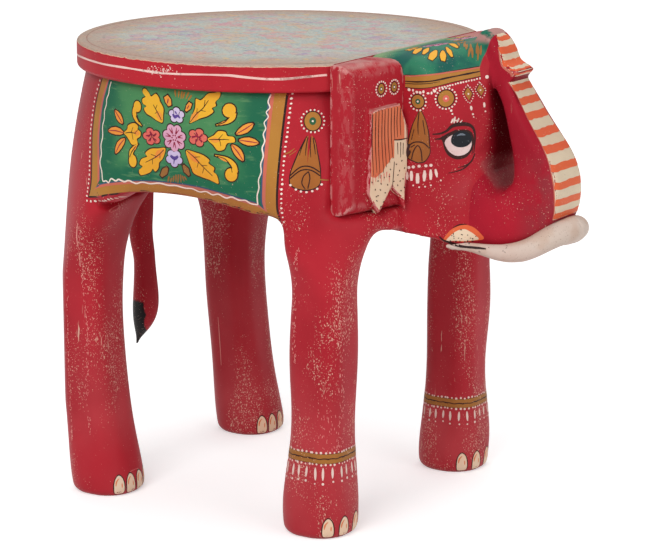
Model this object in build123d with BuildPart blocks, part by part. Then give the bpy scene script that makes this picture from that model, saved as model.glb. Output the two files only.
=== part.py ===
from build123d import *
import os

# Carved elephant stool, in millimetres. +Z is up and the elephant walks towards +X.
# Every piece is drawn about the upright axis of the round seat. The last step moves
# the stool so that its origin lies on the floor, under the middle of its box.
# The elephant's right-hand side is at -Y.

# ---- driving dimensions -------------------------------------------------------------
seat_height = 430.0          # floor to the top of the seat
seat_diameter = 381.0
seat_thickness = 24.5        # one planed plank
seat_edge = 3.0              # worn rounding of the seat's edges
face_inset = 51.0            # the seat is cut off this far behind its rim, for the head

# The body, as depths below the seat's top where they are levels.
seat_overhang = 10.5         # of the seat's rim over the round body under it
body_spread = 3.0            # the squarer body below is narrower than the round one by this
body_corner = 119.0          # corner radius of the body at the panels' lower edge
leg_corner = 101.0           # corner radius of the outline that the four legs share
panel_depth = 137.0          # of the panels' lower corners
arch_rise = 15.0             # the panels' lower edges arch up by this much
arch_half = 103.0            # half width of that arch
arch_middle = 3.0
side_board_half = 88.0       # half length of the side boards, between the legs
board_inside = 132.0         # inner faces of the side boards and of the rump board
chest_thickness = 41.5
chest_depth = 152.0          # of the chest's lower edge
rump_depth = 142.0           # of the rump's lower edge

foot_half = 32.5             # half width of a foot
foot_edge = 4.0              # worn edge under a foot
leg_half = 25.8              # half width of a leg at its thinnest
front_leg_x = 122.5          # a front foot's place, from the seat's axis
rear_leg_x = 118.0
leg_y = 122.0
front_lean = 4.0             # the front legs lean forward going up
rear_bow = 19.0              # the rear legs bow backward between foot and body

# The head, as distances in front of the seat's cut face and depths below its top.
head_half = 68.0             # half width of the head, and of the boards behind it
forehead_reach = 100.5       # flat front of the forehead, behind the trunk
forehead_half = 20.0         # half width of that front
jaw_reach = 92.5             # front of the jaw, where the trunk is glued on
jaw_half = 49.0              # half width there
jaw_depth = 166.0            # underside of the jaw at its front
crown_reach = 65.5           # the forehead's highest point
crown_rise = 11.0            # the forehead's dome above the seat
gap_depth = 117.0            # foot of the gap between forehead and trunk
ear_outside = 134.5          # half distance over the two ears
ear_depth = 134.0
ear_reach_outside = 18.5     # front of an ear at its outer edge
ear_reach_inside = 36.5      # front of an ear beside the head
ear_round = 12.0             # rounding down an ear's outer front edge
flap_relief = 6.0            # the inner ear stands proud by this much

trunk_half = 27.5            # half width of the trunk where it leaves the face
tip_half = 18.0              # half width of the curled tip
lip_reach = 122.5            # point of the trunk's lip
tusk_reach = 181.5           # front of the tusks
tusk_deep = 10.5             # half thickness of a tusk at its front end
tusk_tall = 13.8             # half height there

tail_inset = 19.0            # the tail's peg stands this far inside the round body
tail_half = 10.5
tail_peg_radius = 7.0
tail_peg_length = 30.0

dowel_radius = 5.0
dowel_length = 40.0
dowel_clearance = 0.1        # between a dowel and its hole, all round
dowel_end_gap = 1.0          # beyond each end of a dowel
dowel_wall = 10.0            # wood between a board's inner face and its dowels' middles
seat_dowel_depth = 18.0      # how far the seat dowels reach into the seat board
seat_dowel_inset = 14.0      # of the seat dowels, from the inner faces of their blocks
upper_dowel_depth = 32.0     # dowel rows, below the seat board
lower_dowel_depth = 78.0

# ---- derived ------------------------------------------------------------------------
seat_radius = seat_diameter / 2
face_x = seat_radius - face_inset
body_radius = seat_radius - seat_overhang
body_side = body_radius - body_spread
body_top = seat_height - seat_thickness
panel_foot = seat_height - panel_depth
chest_foot = seat_height - chest_depth
rump_foot = seat_height - rump_depth
ear_foot = seat_height - ear_depth
jaw_foot = seat_height - jaw_depth
gap_foot = seat_height - gap_depth
crown_top = seat_height + crown_rise
chest_inside = face_x - chest_thickness
forehead_x = face_x + forehead_reach
jaw_x = face_x + jaw_reach
tail_x = -(body_radius - tail_inset)
overall_length = seat_radius + face_x + tusk_reach
to_floor_middle = Location((seat_radius - overall_length / 2, 0, 0))

pieces = {}


def keep(name, solid):
    """Put a finished piece with the others."""
    pieces[name] = solid


def keep_pair(name, solid):
    """The right-hand piece is drawn; the left-hand one is its mirror image."""
    keep(name + "_right", solid)
    with BuildPart() as other:
        mirror(solid, about=Plane.XZ)
    keep(name + "_left", other.part)


# ---- dowels -------------------------------------------------------------------------
# A place's Z axis runs along its dowel, and its origin is the dowel's middle.
# Places are given for the right-hand side and mirrored for the left.
def along_x(x, y, z):
    return Location((x, y, z), (0, 90, 0))


def along_y(x, y, z):
    return Location((x, y, z), (90, 0, 0))


def along_z(x, y, z):
    return Location((x, y, z))


dowel_rows = {"upper": body_top - upper_dowel_depth, "lower": body_top - lower_dowel_depth}
dowel_middle = board_inside + dowel_wall
chest_mid = face_x - chest_thickness / 2
seat_dowel_x = side_board_half + 2 * seat_dowel_inset
seat_dowel_z = body_top + seat_dowel_depth - dowel_length / 2
seat_dowel_y = -(head_half + 3 * seat_dowel_inset)
ear_dowel_y = -(head_half + ear_outside) / 2
right_dowels = {
    "seat_dowel_front": along_z(seat_dowel_x, seat_dowel_y, seat_dowel_z),
    "seat_dowel_rear": along_z(-seat_dowel_x, seat_dowel_y, seat_dowel_z),
    "ear_dowel": along_x(face_x, ear_dowel_y, (ear_foot + body_top) / 2),
    "head_dowel": along_x(face_x, -head_half / 2, (chest_foot + body_top) / 2),
}
trunk_dowel = along_x(jaw_x, 0.0, (gap_foot + jaw_foot) / 2)
for row, z in dowel_rows.items():
    right_dowels[f"side_dowel_front_{row}"] = along_x(side_board_half, -dowel_middle, z)
    right_dowels[f"side_dowel_rear_{row}"] = along_x(-side_board_half, -dowel_middle, z)
    right_dowels[f"chest_dowel_{row}"] = along_y(chest_mid, -head_half, z)
    right_dowels[f"rump_dowel_{row}"] = along_y(-dowel_middle, -head_half, z)


def mirrored(place):
    """The same dowel on the left-hand side."""
    x, y, z = place.position
    turn_x, turn_y, turn_z = place.orientation
    return Location((x, -y, z), (-turn_x, turn_y, -turn_z))


def bore(place, length=dowel_length, radius=dowel_radius):
    """Cut room for one dowel into the piece being built."""
    with Locations(place):
        Cylinder(radius + dowel_clearance, length + 2 * dowel_end_gap, mode=Mode.SUBTRACT)


def bore_right(*starts):
    for name, place in right_dowels.items():
        if name.startswith(starts):
            bore(place)


def bore_both(*starts):
    for name, place in right_dowels.items():
        if name.startswith(starts):
            bore(place)
            bore(mirrored(place))


def dowel(place, length=dowel_length, radius=dowel_radius):
    """A fluted dowel is drawn as a plain one."""
    with BuildPart() as pin:
        with Locations(place):
            Cylinder(radius, length)
    return pin.part


# ---- the outer shape of the body ----------------------------------------------------
# Round at the seat, then squarer and wider at its corners, as the legs spread below it.
# A level is (height, half width, corner radius).
spread_foot = 0.72 * panel_foot
body_levels = [
    (spread_foot, body_side, leg_corner),
    (panel_foot - 40, body_side, (leg_corner + body_corner) / 2),
    (panel_foot, body_side, body_corner),
    ((body_top + panel_foot) / 2, (body_radius + body_side) / 2, body_corner + 25),
    (body_top, body_radius, body_radius - 0.5),
]
with BuildPart() as body_shape:
    for level, half, corner in body_levels:
        with BuildSketch(Plane.XY.offset(level)):
            RectangleRounded(2 * half, 2 * half, corner)
    loft()
    with BuildSketch():
        RectangleRounded(2 * body_side, 2 * body_side, leg_corner)
    extrude(amount=spread_foot)

# The panels' lower edges arch between the front and the rear legs.
arch_ends = (arch_middle - arch_half, arch_middle + arch_half)
with BuildPart() as side_arch:
    with BuildSketch(Plane.XZ.offset(-body_radius)):
        with BuildLine():
            ThreePointArc(
                (arch_ends[0], panel_foot),
                (arch_middle, panel_foot + arch_rise),
                (arch_ends[1], panel_foot),
            )
            Polyline(
                (arch_ends[1], panel_foot),
                (arch_ends[1] + 5, chest_foot - 5),
                (arch_ends[0] + 15, chest_foot - 5),
                (arch_ends[0], panel_foot),
            )
        make_face()
    extrude(amount=2 * body_radius)

# Everything in front of face_x and above the ears' feet is head and ears.
with BuildPart() as face_room:
    with BuildSketch(Plane.XY.offset(ear_foot)):
        with Locations((face_x, 0)):
            Rectangle(body_radius, 3 * body_radius, align=(Align.MIN, Align.CENTER))
    extrude(amount=seat_height)

# ---- seat board ---------------------------------------------------------------------
with BuildPart() as seat_board:
    with BuildSketch(Plane.XY.offset(body_top)):
        Circle(seat_radius)
        with Locations((face_x, 0)):
            Rectangle(
                seat_radius,
                seat_diameter,
                align=(Align.MIN, Align.CENTER),
                mode=Mode.SUBTRACT,
            )
    extrude(amount=seat_thickness)
    fillet(seat_board.edges().filter_by(GeomType.CIRCLE), seat_edge)
    bore_both("seat_dowel")
keep("seat_board", seat_board.part)


# ---- legs ---------------------------------------------------------------------------
# Each leg is one post: round at the foot, a soft square above it, and flaring under the
# body into the corner block that the side and end boards are glued to.
# A section is (level, how far the section grows inward and outward in x, the same in y,
# roundness), about the leg's own middle line. Levels are shares of the leg's height.
def leg_sections(height, foot_x, steps):
    """Turn the steps into (level, x from, x to, y from, y to, corner radius)."""
    sections = []
    for share, shift, half, x_in, x_out, y_in, y_out, roundness in steps:
        x = foot_x + shift
        sections.append(
            (
                share * height,
                x - half - x_in,
                x + half + x_out,
                leg_y - half - y_in,
                leg_y + half + y_out,
                roundness * half,
            )
        )
    return sections


front_steps = [
    (0.0, 0.0, foot_half - 1, 0.0, 0.0, 0.0, 0.0, 0.9),
    (0.05, 0.0, foot_half, 0.0, 0.0, 0.0, 0.0, 0.9),
    (0.25, 0.4 * front_lean, leg_half + 1.5, 0.0, 0.0, 0.0, 0.0, 0.72),
    (0.50, 0.8 * front_lean, leg_half, 0.0, 0.0, 0.0, 0.0, 0.62),
    (0.72, front_lean, leg_half, 0.0, 0.0, 0.0, 0.0, 0.62),
    (0.835, front_lean, leg_half, -1.0, 1.0, 1.5, 3.0, 0.7),
    (0.918, front_lean, leg_half, -2.0, 6.0, 2.5, 12.0, 0.7),
    (1.0, front_lean, leg_half, -4.5, 15.0, 4.0, 22.0, 0.7),
]
rear_steps = [
    (0.0, 0.0, foot_half - 1, 0.0, 0.0, 0.0, 0.0, 0.9),
    (0.05, 0.08 * rear_bow, foot_half, 0.0, 0.0, 0.0, 0.0, 0.9),
    (0.24, 0.5 * rear_bow, leg_half + 2, 0.0, 0.0, 0.0, 0.0, 0.72),
    (0.45, 0.85 * rear_bow, leg_half + 0.5, 0.0, 0.0, 0.0, 0.0, 0.62),
    (0.66, rear_bow, leg_half + 1, 0.0, 0.0, 0.0, 0.0, 0.62),
    (0.79, rear_bow, leg_half + 1, 4.0, 4.0, 2.0, 6.0, 0.68),
    (0.90, rear_bow, leg_half + 1, 11.0, 14.0, 7.0, 17.0, 0.68),
    (1.0, rear_bow, leg_half + 1, 23.0, 26.0, 19.0, 27.0, 0.6),
]
outward = {+1: Align.MIN, -1: Align.MAX}


def leg_post(sections, block_foot, heading):
    """The right-hand leg; heading is +1 for a front leg and -1 for a rear one."""
    with BuildPart() as block:
        with BuildSketch(Plane.XY.offset(block_foot)):
            with Locations((heading * side_board_half, -head_half)):
                Rectangle(body_radius, body_radius, align=(outward[heading], Align.MAX))
        extrude(amount=body_top - block_foot)
        add(side_arch.part, mode=Mode.SUBTRACT)
    with BuildPart() as leg:
        for level, x_in, x_out, y_in, y_out, corner in sections:
            with BuildSketch(Plane.XY.offset(level)):
                with Locations((heading * (x_in + x_out) / 2, -(y_in + y_out) / 2)):
                    RectangleRounded(x_out - x_in, y_out - y_in, corner)
        loft()
        chamfer(leg.faces().sort_by(Axis.Z)[0].edges(), foot_edge)
        add(block.part)
        add(body_shape.part, mode=Mode.INTERSECT)
        if heading > 0:
            add(face_room.part, mode=Mode.SUBTRACT)
            bore_right("seat_dowel_front", "side_dowel_front", "chest_dowel", "ear_dowel")
        else:
            bore_right("seat_dowel_rear", "side_dowel_rear", "rump_dowel")
    return leg.part


front_leg = leg_sections(chest_foot, front_leg_x, front_steps)
rear_leg = leg_sections(rump_foot, rear_leg_x, rear_steps)
keep_pair("leg_front", leg_post(front_leg, chest_foot, +1))
keep_pair("leg_rear", leg_post(rear_leg, rump_foot, -1))

# ---- boards between the legs --------------------------------------------------------
with BuildPart() as side_board:
    with BuildSketch(Plane.XY.offset(chest_foot)):
        with Locations((0, -board_inside)):
            Rectangle(2 * side_board_half, body_radius, align=(Align.CENTER, Align.MAX))
    extrude(amount=body_top - chest_foot)
    add(body_shape.part, mode=Mode.INTERSECT)
    add(side_arch.part, mode=Mode.SUBTRACT)
    bore_right("side_dowel")
keep_pair("side_board", side_board.part)

with BuildPart() as chest_board:
    with BuildSketch(Plane.XY.offset(chest_foot)):
        with Locations((chest_inside, 0)):
            Rectangle(
                chest_thickness, 2 * head_half, align=(Align.MIN, Align.CENTER)
            )
    extrude(amount=body_top - chest_foot)
    bore_both("chest_dowel", "head_dowel")
keep("chest_board", chest_board.part)

with BuildPart() as rump_board:
    with BuildSketch(Plane.XY.offset(rump_foot)):
        with Locations((-board_inside, 0)):
            Rectangle(body_radius, 2 * head_half, align=(Align.MAX, Align.CENTER))
    extrude(amount=body_top - rump_foot)
    add(body_shape.part, mode=Mode.INTERSECT)
    bore_both("rump_dowel")
    bore(along_z(tail_x, 0, rump_foot), 2 * tail_peg_length, tail_peg_radius)
keep("rump_board", rump_board.part)

# ---- head block ---------------------------------------------------------------------
# Plan sections: (depth, how far forward the full width runs, half width of the front,
# half width of the back, front). The cheeks narrow early and the forehead late.
face_sections = [
    (jaw_depth + 6, 32.5, jaw_half, head_half, jaw_reach),
    (130.0, 32.5, jaw_half, head_half, jaw_reach),
    (108.0, 38.5, 36.0, head_half, jaw_reach + 2),
    (86.0, 48.5, forehead_half, head_half, forehead_reach),
    (50.0, 57.5, forehead_half, head_half, forehead_reach),
    (18.0, 62.5, forehead_half, head_half, forehead_reach - 2),
]
crown_sections = [
    (18.0, 62.5, forehead_half, head_half, forehead_reach - 2),
    (6.0, 56.5, forehead_half - 2, head_half - 1, forehead_reach - 4),
    (-0.35 * crown_rise, 44.5, forehead_half - 3, head_half - 12, forehead_reach - 9),
    (-crown_rise, 32.5, forehead_half - 6, 0.5 * head_half, forehead_reach - 16),
]


def face_plan(depth, cheek, front_half, back_half, reach):
    """One plan section of the head, as a wedge with a rounded front."""
    cheek_x = face_x + cheek
    front_x = face_x + reach
    with BuildSketch(Plane.XY.offset(seat_height - depth)) as plan:
        with BuildLine():
            Polyline(
                (face_x, -back_half),
                (cheek_x, -back_half),
                (front_x, -front_half),
                (front_x, front_half),
                (cheek_x, back_half),
                (face_x, back_half),
                close=True,
            )
        make_face()
        fillet(plan.vertices().group_by(Axis.X)[-1], 8.0)
        fillet(plan.vertices().filter_by_position(Axis.X, cheek_x - 1, cheek_x + 1), 14.0)
    return plan.sketch


# What is sawn off the block, seen from the side: above the slope that rises from the
# seat to the crown, and below the jaw.
crown_x = face_x + crown_reach
with BuildPart() as head_waste:
    with BuildSketch(Plane.XZ.offset(-head_half - 1)):
        with BuildLine():
            Polyline(
                (face_x, seat_height),
                ((face_x + crown_x) / 2, seat_height + 0.5 * crown_rise),
                (crown_x, crown_top),
                (crown_x, crown_top + 10),
                (face_x, crown_top + 10),
                close=True,
            )
        make_face()
        with BuildLine():
            Polyline(
                (face_x, jaw_foot - 20),
                (face_x, chest_foot - 2),
                ((face_x + crown_x) / 2, chest_foot - 4.5),
                (jaw_x, jaw_foot),
                (jaw_x + 20, jaw_foot),
                (jaw_x + 20, jaw_foot - 20),
                close=True,
            )
        make_face()
    extrude(amount=2 * head_half + 2)

with BuildPart() as head_block:
    for section in face_sections:
        add(face_plan(*section))
    loft()
    for section in crown_sections:
        add(face_plan(*section))
    loft()
    add(head_waste.part, mode=Mode.SUBTRACT)
    with BuildSketch():
        Rectangle(2 * forehead_x, 2 * head_half)
    extrude(amount=crown_top, mode=Mode.INTERSECT)
    bore_both("head_dowel")
    bore(trunk_dowel)
keep("head_block", head_block.part)

# ---- ears ---------------------------------------------------------------------------
# An ear is a slab whose front slants, with the inner ear left standing proud of it as a
# flap with a notched, two-pointed foot.
ear_inner_x = face_x + ear_reach_inside
ear_outer_x = face_x + ear_reach_outside
ear_width = ear_outside - head_half
ear_front = Plane(
    origin=(ear_inner_x, -head_half, ear_foot),
    x_dir=(ear_inner_x - ear_outer_x, ear_width, 0),
    z_dir=(ear_width, ear_outer_x - ear_inner_x, 0),
)
# Points are (share of the way across the ear from the head, height above its foot).
ear_slant = ((ear_inner_x - ear_outer_x) ** 2 + ear_width**2) ** 0.5
flap_outline = [
    (0.01, 34.0),
    (0.01, 75.0),
    (0.14, 95.5),
    (0.65, 93.0),
    (0.68, 54.0),
    (0.72, 21.0),
    (0.51, 0.0),
    (0.29, 22.0),
    (0.05, 6.0),
]
with BuildPart() as ear:
    with BuildSketch(Plane.XY.offset(ear_foot)):
        with BuildLine():
            Polyline(
                (face_x, -head_half),
                (ear_inner_x, -head_half),
                (ear_outer_x, -ear_outside),
                (face_x, -ear_outside),
                close=True,
            )
        make_face()
    extrude(amount=ear_depth)
    front = ear.faces().sort_by(Axis.X)[-1].edges()
    fillet([front.sort_by(Axis.Y)[0], front.sort_by(Axis.Z)[0], front.sort_by(Axis.Z)[-1]], ear_round)
    with BuildSketch(ear_front):
        with BuildLine():
            Polyline(*[(-share * ear_slant, rise) for share, rise in flap_outline], close=True)
        make_face()
    extrude(amount=flap_relief)
    bore_right("ear_dowel")
keep_pair("ear", ear.part)

# ---- trunk --------------------------------------------------------------------------
# The trunk leaves the face forward, turns up and curls back onto the forehead.
# A section is (reach of its middle, its depth, direction x, direction z, thickness,
# half width).
trunk_sections = [
    (jaw_reach, (gap_depth + jaw_depth) / 2, 1.0, 0.0, jaw_depth - gap_depth, jaw_half),
    (119.5, 140.5, 0.90, 0.44, 50.0, 39.0),
    (137.5, 133.0, 0.66, 0.75, 53.0, 31.0),
    (144.0, 121.0, 0.38, 0.92, 49.0, trunk_half + 1),
    (145.0, 104.0, -0.05, 1.0, 43.0, trunk_half),
    (139.5, 85.0, -0.25, 0.97, 34.0, trunk_half),
    (127.0, 59.0, -0.42, 0.91, 20.5, trunk_half - 1.5),
    (114.5, 34.0, -0.52, 0.85, 15.0, trunk_half - 6),
    (103.5, 17.0, -0.50, 0.87, 18.0, tip_half),
    (96.5, 3.0, -0.30, 0.95, 22.0, tip_half),
    (91.0, -8.0, -0.70, 0.71, 21.0, tip_half - 1),
    (78.5, -crown_rise, -1.0, 0.0, 12.0, tip_half - 4),
]


def trunk_plane(reach, depth, direction_x, direction_z):
    """The plane across the trunk at one of its sections."""
    return Plane(
        origin=(face_x + reach, 0, seat_height - depth),
        x_dir=(0, 1, 0),
        z_dir=(direction_x, 0, direction_z),
    )


lip_x = face_x + lip_reach
with BuildPart() as trunk:
    for reach, depth, direction_x, direction_z, thickness, half in trunk_sections:
        with BuildSketch(trunk_plane(reach, depth, direction_x, direction_z)):
            RectangleRounded(2 * half, thickness, 0.3 * min(thickness, half))
    loft()
    with BuildSketch(Plane.XZ.offset(-tip_half + 1)):
        with BuildLine():
            Polyline(
                (lip_x - 24, seat_height - 10.0),
                (lip_x - 10, seat_height - 23.0),
                (lip_x, seat_height - 11.5),
                (lip_x - 17, seat_height - 3.5),
                close=True,
            )
        make_face()
    extrude(amount=2 * tip_half - 2)
    add(head_block.part, mode=Mode.SUBTRACT)
    bore(trunk_dowel)
keep("trunk", trunk.part)

# ---- tusks --------------------------------------------------------------------------
# Each tusk is half of one crescent: it starts thin on the cheek, hugs the jaw and meets
# the other one under the trunk.
# A section is (reach, y, depth, direction x, direction y, half thickness, half height).
tusk_sections = [
    (76.5, -59.5, 163.0, 0.97, 0.20, 1.2, 1.5),
    (92.5, -55.5, 165.7, 0.96, 0.27, 3.0, 3.0),
    (110.5, -50.0, 169.0, 0.94, 0.30, 5.5, 5.0),
    (130.5, -45.0, 170.5, 0.94, 0.34, 7.5, 7.7),
    (147.5, -38.0, 166.0, 0.86, 0.50, 9.0, 9.8),
    (161.0, -27.0, 158.5, 0.65, 0.76, 10.0, 12.0),
    (169.0, -13.0, 153.5, 0.30, 0.95, tusk_deep, tusk_tall - 0.5),
    (tusk_reach - tusk_deep, 0.0, 152.3, 0.0, 1.0, tusk_deep, tusk_tall),
]
with BuildPart() as tusk:
    for reach, y, depth, direction_x, direction_y, deep, tall in tusk_sections:
        across = Plane(
            origin=(face_x + reach, y, seat_height - depth),
            x_dir=(direction_y, -direction_x, 0),
            z_dir=(direction_x, direction_y, 0),
        )
        with BuildSketch(across):
            Ellipse(deep, tall)
    loft()
    add(head_block.part, mode=Mode.SUBTRACT)
    add(trunk.part, mode=Mode.SUBTRACT)
keep_pair("tusk", tusk.part)

# ---- tail ---------------------------------------------------------------------------
# The tail hangs from a round peg in the rump board and ends in a pointed tuft.
# A section is (depth below the rump, x from the peg's axis, half width).
tail_sections = [
    (0.0, 0.0, tail_half),
    (26.0, -0.5, tail_half - 0.5),
    (52.0, -1.0, tail_half - 0.5),
    (78.0, -1.0, tail_half),
    (104.0, 0.0, tail_half + 0.6),
    (128.0, 0.5, tail_half + 2.2),
    (148.0, -1.0, tail_half + 1.5),
    (166.0, -6.0, tail_half - 4.5),
    (180.0, -11.5, 1.2),
]
with BuildPart() as tail:
    for depth, x, half in reversed(tail_sections):
        with BuildSketch(Plane.XY.offset(rump_foot - depth)):
            with Locations((tail_x + x, 0)):
                Circle(half)
    loft()
    with BuildSketch(Plane.XY.offset(rump_foot)):
        with Locations((tail_x, 0)):
            Circle(tail_peg_radius)
    extrude(amount=tail_peg_length)
keep("tail", tail.part)

os.makedirs("parts", exist_ok=True)
for name, place in right_dowels.items():
    keep_pair(name, dowel(place))
keep("trunk_dowel", dowel(trunk_dowel))
for name, solid in pieces.items():
    placed = to_floor_middle * solid
    placed.label = name
    export_step(placed, f"parts/{name}.step")
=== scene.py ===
# %% [markdown]
# # A carved and painted elephant stool
# The stool is a round seat board on four carved legs, with boards between the legs, and a
# head, ears, trunk, tusks and tail glued on. All of it is painted by hand. The bare wood
# forms come from the CAD model, which is loaded here and never moved. This lesson softens
# them the way a carver does, paints them, and puts them in a plain studio.

import math
import random

import bpy
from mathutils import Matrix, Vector
from mathutils.bvhtree import BVHTree


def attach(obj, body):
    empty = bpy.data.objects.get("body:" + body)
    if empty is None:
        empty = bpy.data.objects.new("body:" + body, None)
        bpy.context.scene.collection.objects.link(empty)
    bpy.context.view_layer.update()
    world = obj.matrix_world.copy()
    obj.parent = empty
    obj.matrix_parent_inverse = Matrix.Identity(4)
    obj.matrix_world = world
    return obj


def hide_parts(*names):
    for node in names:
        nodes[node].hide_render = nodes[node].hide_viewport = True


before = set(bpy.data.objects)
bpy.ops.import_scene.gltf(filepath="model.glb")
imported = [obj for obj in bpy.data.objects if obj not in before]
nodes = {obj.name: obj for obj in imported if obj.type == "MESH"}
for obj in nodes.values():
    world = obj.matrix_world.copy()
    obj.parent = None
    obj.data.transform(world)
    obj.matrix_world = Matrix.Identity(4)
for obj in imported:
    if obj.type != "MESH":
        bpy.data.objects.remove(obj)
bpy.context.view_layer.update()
MM = 0.001
SIDES = ((-1, "right"), (1, "left"))  # the sign of y, and the name of the side

# %% [markdown]
# Every operator in Blender acts on what is selected, and the loaded pieces are selected.
# So a few small helpers choose exactly one thing at a time. A copy of a bare piece is
# loose triangles, so its double points are merged before anything else.

# %% Helpers for choosing and copying pieces


def deselect():
    bpy.ops.object.select_all(action="DESELECT")


def choose(*objects):
    """Select these objects and make the last one active."""
    deselect()
    for thing in objects:
        thing.select_set(True)
    bpy.context.view_layer.objects.active = objects[-1]


def edit(piece):
    """Open a piece in edit mode with everything selected."""
    choose(piece)
    bpy.ops.object.mode_set(mode="EDIT")
    bpy.ops.mesh.select_mode(type="VERT")
    bpy.ops.mesh.select_all(action="SELECT")


def done():
    bpy.ops.object.mode_set(mode="OBJECT")


def copy_of(source, name):
    """A copy of a piece, with a mesh of its own and its doubles merged."""
    piece = bpy.data.objects.new(name, source.data.copy())
    piece.data.name = name
    piece.data.materials.clear()
    bpy.context.scene.collection.objects.link(piece)
    edit(piece)
    bpy.ops.mesh.remove_doubles(threshold=0.02 * MM)
    done()
    return piece

# %% [markdown]
# Modifiers are added with their settings in one call, and applied in the stack's order. A
# nudge is what a carver does with a rasp: one point moves, and proportional editing takes
# its neighbours along. Both sides of the animal get the same nudges, mirrored.

# %% Helpers for shaping


def add_modifier(piece, kind, **settings):
    modifier = piece.modifiers.new(kind.title(), kind)
    for name, value in settings.items():
        setattr(modifier, name, value)
    return modifier


def apply_modifiers(piece):
    choose(piece)
    for modifier in list(piece.modifiers):
        bpy.ops.object.modifier_apply(modifier=modifier.name)


def remove(piece):
    mesh = piece.data
    bpy.data.objects.remove(piece)
    bpy.data.meshes.remove(mesh)


def nudge(piece, place, reach, move):
    """Push a soft piece about by hand: all that is near the place (mm) follows, less and less."""
    place = Vector(place) * MM
    choose(piece)
    bpy.ops.object.mode_set(mode="EDIT")
    bpy.ops.mesh.select_mode(type="VERT")
    bpy.ops.mesh.select_all(action="DESELECT")
    done()
    min(piece.data.vertices, key=lambda vertex: (vertex.co - place).length).select = True
    bpy.ops.object.mode_set(mode="EDIT")
    bpy.ops.transform.translate(
        value=tuple(part * MM for part in move), use_proportional_edit=True,
        proportional_edit_falloff="SMOOTH", proportional_size=reach * MM,
    )
    done()


def nudge_side(piece, side, rows):
    """A table of nudges (place, reach, move) for the left side, or mirrored for the right one."""
    for (x, y, z), reach, (dx, dy, dz) in rows:
        nudge(piece, (x, y * side, z), reach, (dx, dy * side, dz))


def smooth_by_angle(piece, degrees):
    choose(piece)
    bpy.ops.object.shade_smooth_by_angle(angle=math.radians(degrees))


def report(piece):
    print(f"{piece.name}: {len(piece.data.vertices)} points, {len(piece.data.polygons)} faces")

# %% [markdown]
# A carved body has no hard joint lines: the carver glues the blocks first and rounds them
# together, so legs, boards and head flow into each other. The blocks could be bevelled one
# by one, but their shared edges would show. Here copies of them are joined, given one
# even skin with a voxel remesh, and smoothed. Under the body, where each leg swells into
# its corner block, a second smoothing in a soft-edged vertex group melts the last ledges.

# %% Carve one soft skin over the glued blocks
body_nodes = [name for name in nodes if name.startswith(("leg_", "side_", "chest_", "rump_", "seat_dowel"))]
body_nodes += [name for name in nodes if name.startswith(("head_", "trunk"))]


def soft_skin(name, parts, voxel, rounds):
    """Join copies of bare pieces, wrap them in one skin and smooth it."""
    copies = [copy_of(nodes[part], "blank") for part in parts]
    choose(*copies)
    if len(copies) > 1:
        bpy.ops.object.join()
    skin = bpy.context.view_layer.objects.active
    skin.name = skin.data.name = name
    add_modifier(skin, "REMESH", mode="VOXEL", voxel_size=voxel)
    add_modifier(skin, "SMOOTH", factor=0.5, iterations=rounds)
    apply_modifiers(skin)
    return skin


def ramp(value, low, high):
    """0 below low, 1 above high and a soft rise between."""
    share = min(1, max(0, (value - low) / (high - low)))
    return share * share * (3 - 2 * share)


def within(value, low, full, still_full, high):
    """1 between full and still_full, fading to 0 at low and at high."""
    return ramp(value, low, full) * ramp(-value, -high, -still_full)


body = soft_skin("body", body_nodes, 2.2 * MM, 10)
flare = body.vertex_groups.new(name="flare")
for point in body.data.vertices:
    x, y, z = point.co / MM
    over_leg = 1 - within(x, -156, -150, 20, 26)
    leg_top = within(z, 200, 235, 294, 306) * ramp(abs(y), 82, 92) * over_leg
    cheek_fold = within(x, 150, 156, 178, 186) * within(z, 292, 302, 330, 340) * ramp(abs(y), 8, 14)
    weight = max(leg_top, cheek_fold)
    if weight > 0:
        flare.add([point.index], weight, "REPLACE")
add_modifier(body, "SMOOTH", factor=0.5, iterations=110, vertex_group="flare")
add_modifier(body, "DISPLACE", mid_level=0, strength=0.7 * MM)
apply_modifiers(body)
hips_and_jaw = [
    ((-142, 159, 301), 34, (0, 0, -7)),
    ((-152, 148, 282), 40, (3, 0, -3)),
    ((168, 42, 271), 26, (0, 0, -5)),
    ((192, 36, 272), 28, (0, 0, -5)),
    ((160, 50, 269), 22, (0, 1, -4)),
]
for side, hand in SIDES:
    nudge_side(body, side, hips_and_jaw)
report(body)

# %% [markdown]
# The skin is one surface now, but the stool isn't one block of wood. So it is cut again
# where the real glue lines run, with the bisect operator, which also closes the cut. Each
# plane is a point, and a direction that points at the wood to take away.

# %% Cut the skin along the glue lines


def cut_out(source, name, *planes):
    """A closed piece of the skin, on the near side of every plane."""
    piece = copy_of(source, name)
    for place, away in planes:
        edit(piece)
        bpy.ops.mesh.bisect(plane_co=Vector(place) * MM, plane_no=away, use_fill=True, clear_outer=True)
        done()
    report(piece)
    return piece


def in_front(x):
    return (x, 0, 0), (-1, 0, 0)


def behind(x):
    return (x, 0, 0), (1, 0, 0)


def wide_of(side, y):
    return (0, side * y, 0), (0, -side, 0)


def narrow_of(side, y):
    return (0, side * y, 0), (0, side, 0)


# The glue planes: behind the head, before and behind the side boards, and beside the middle.
HEAD_BACK, SIDE_FRONT, SIDE_BACK, HALF = 74.25, 22.75, -153.25, 68.0
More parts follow.
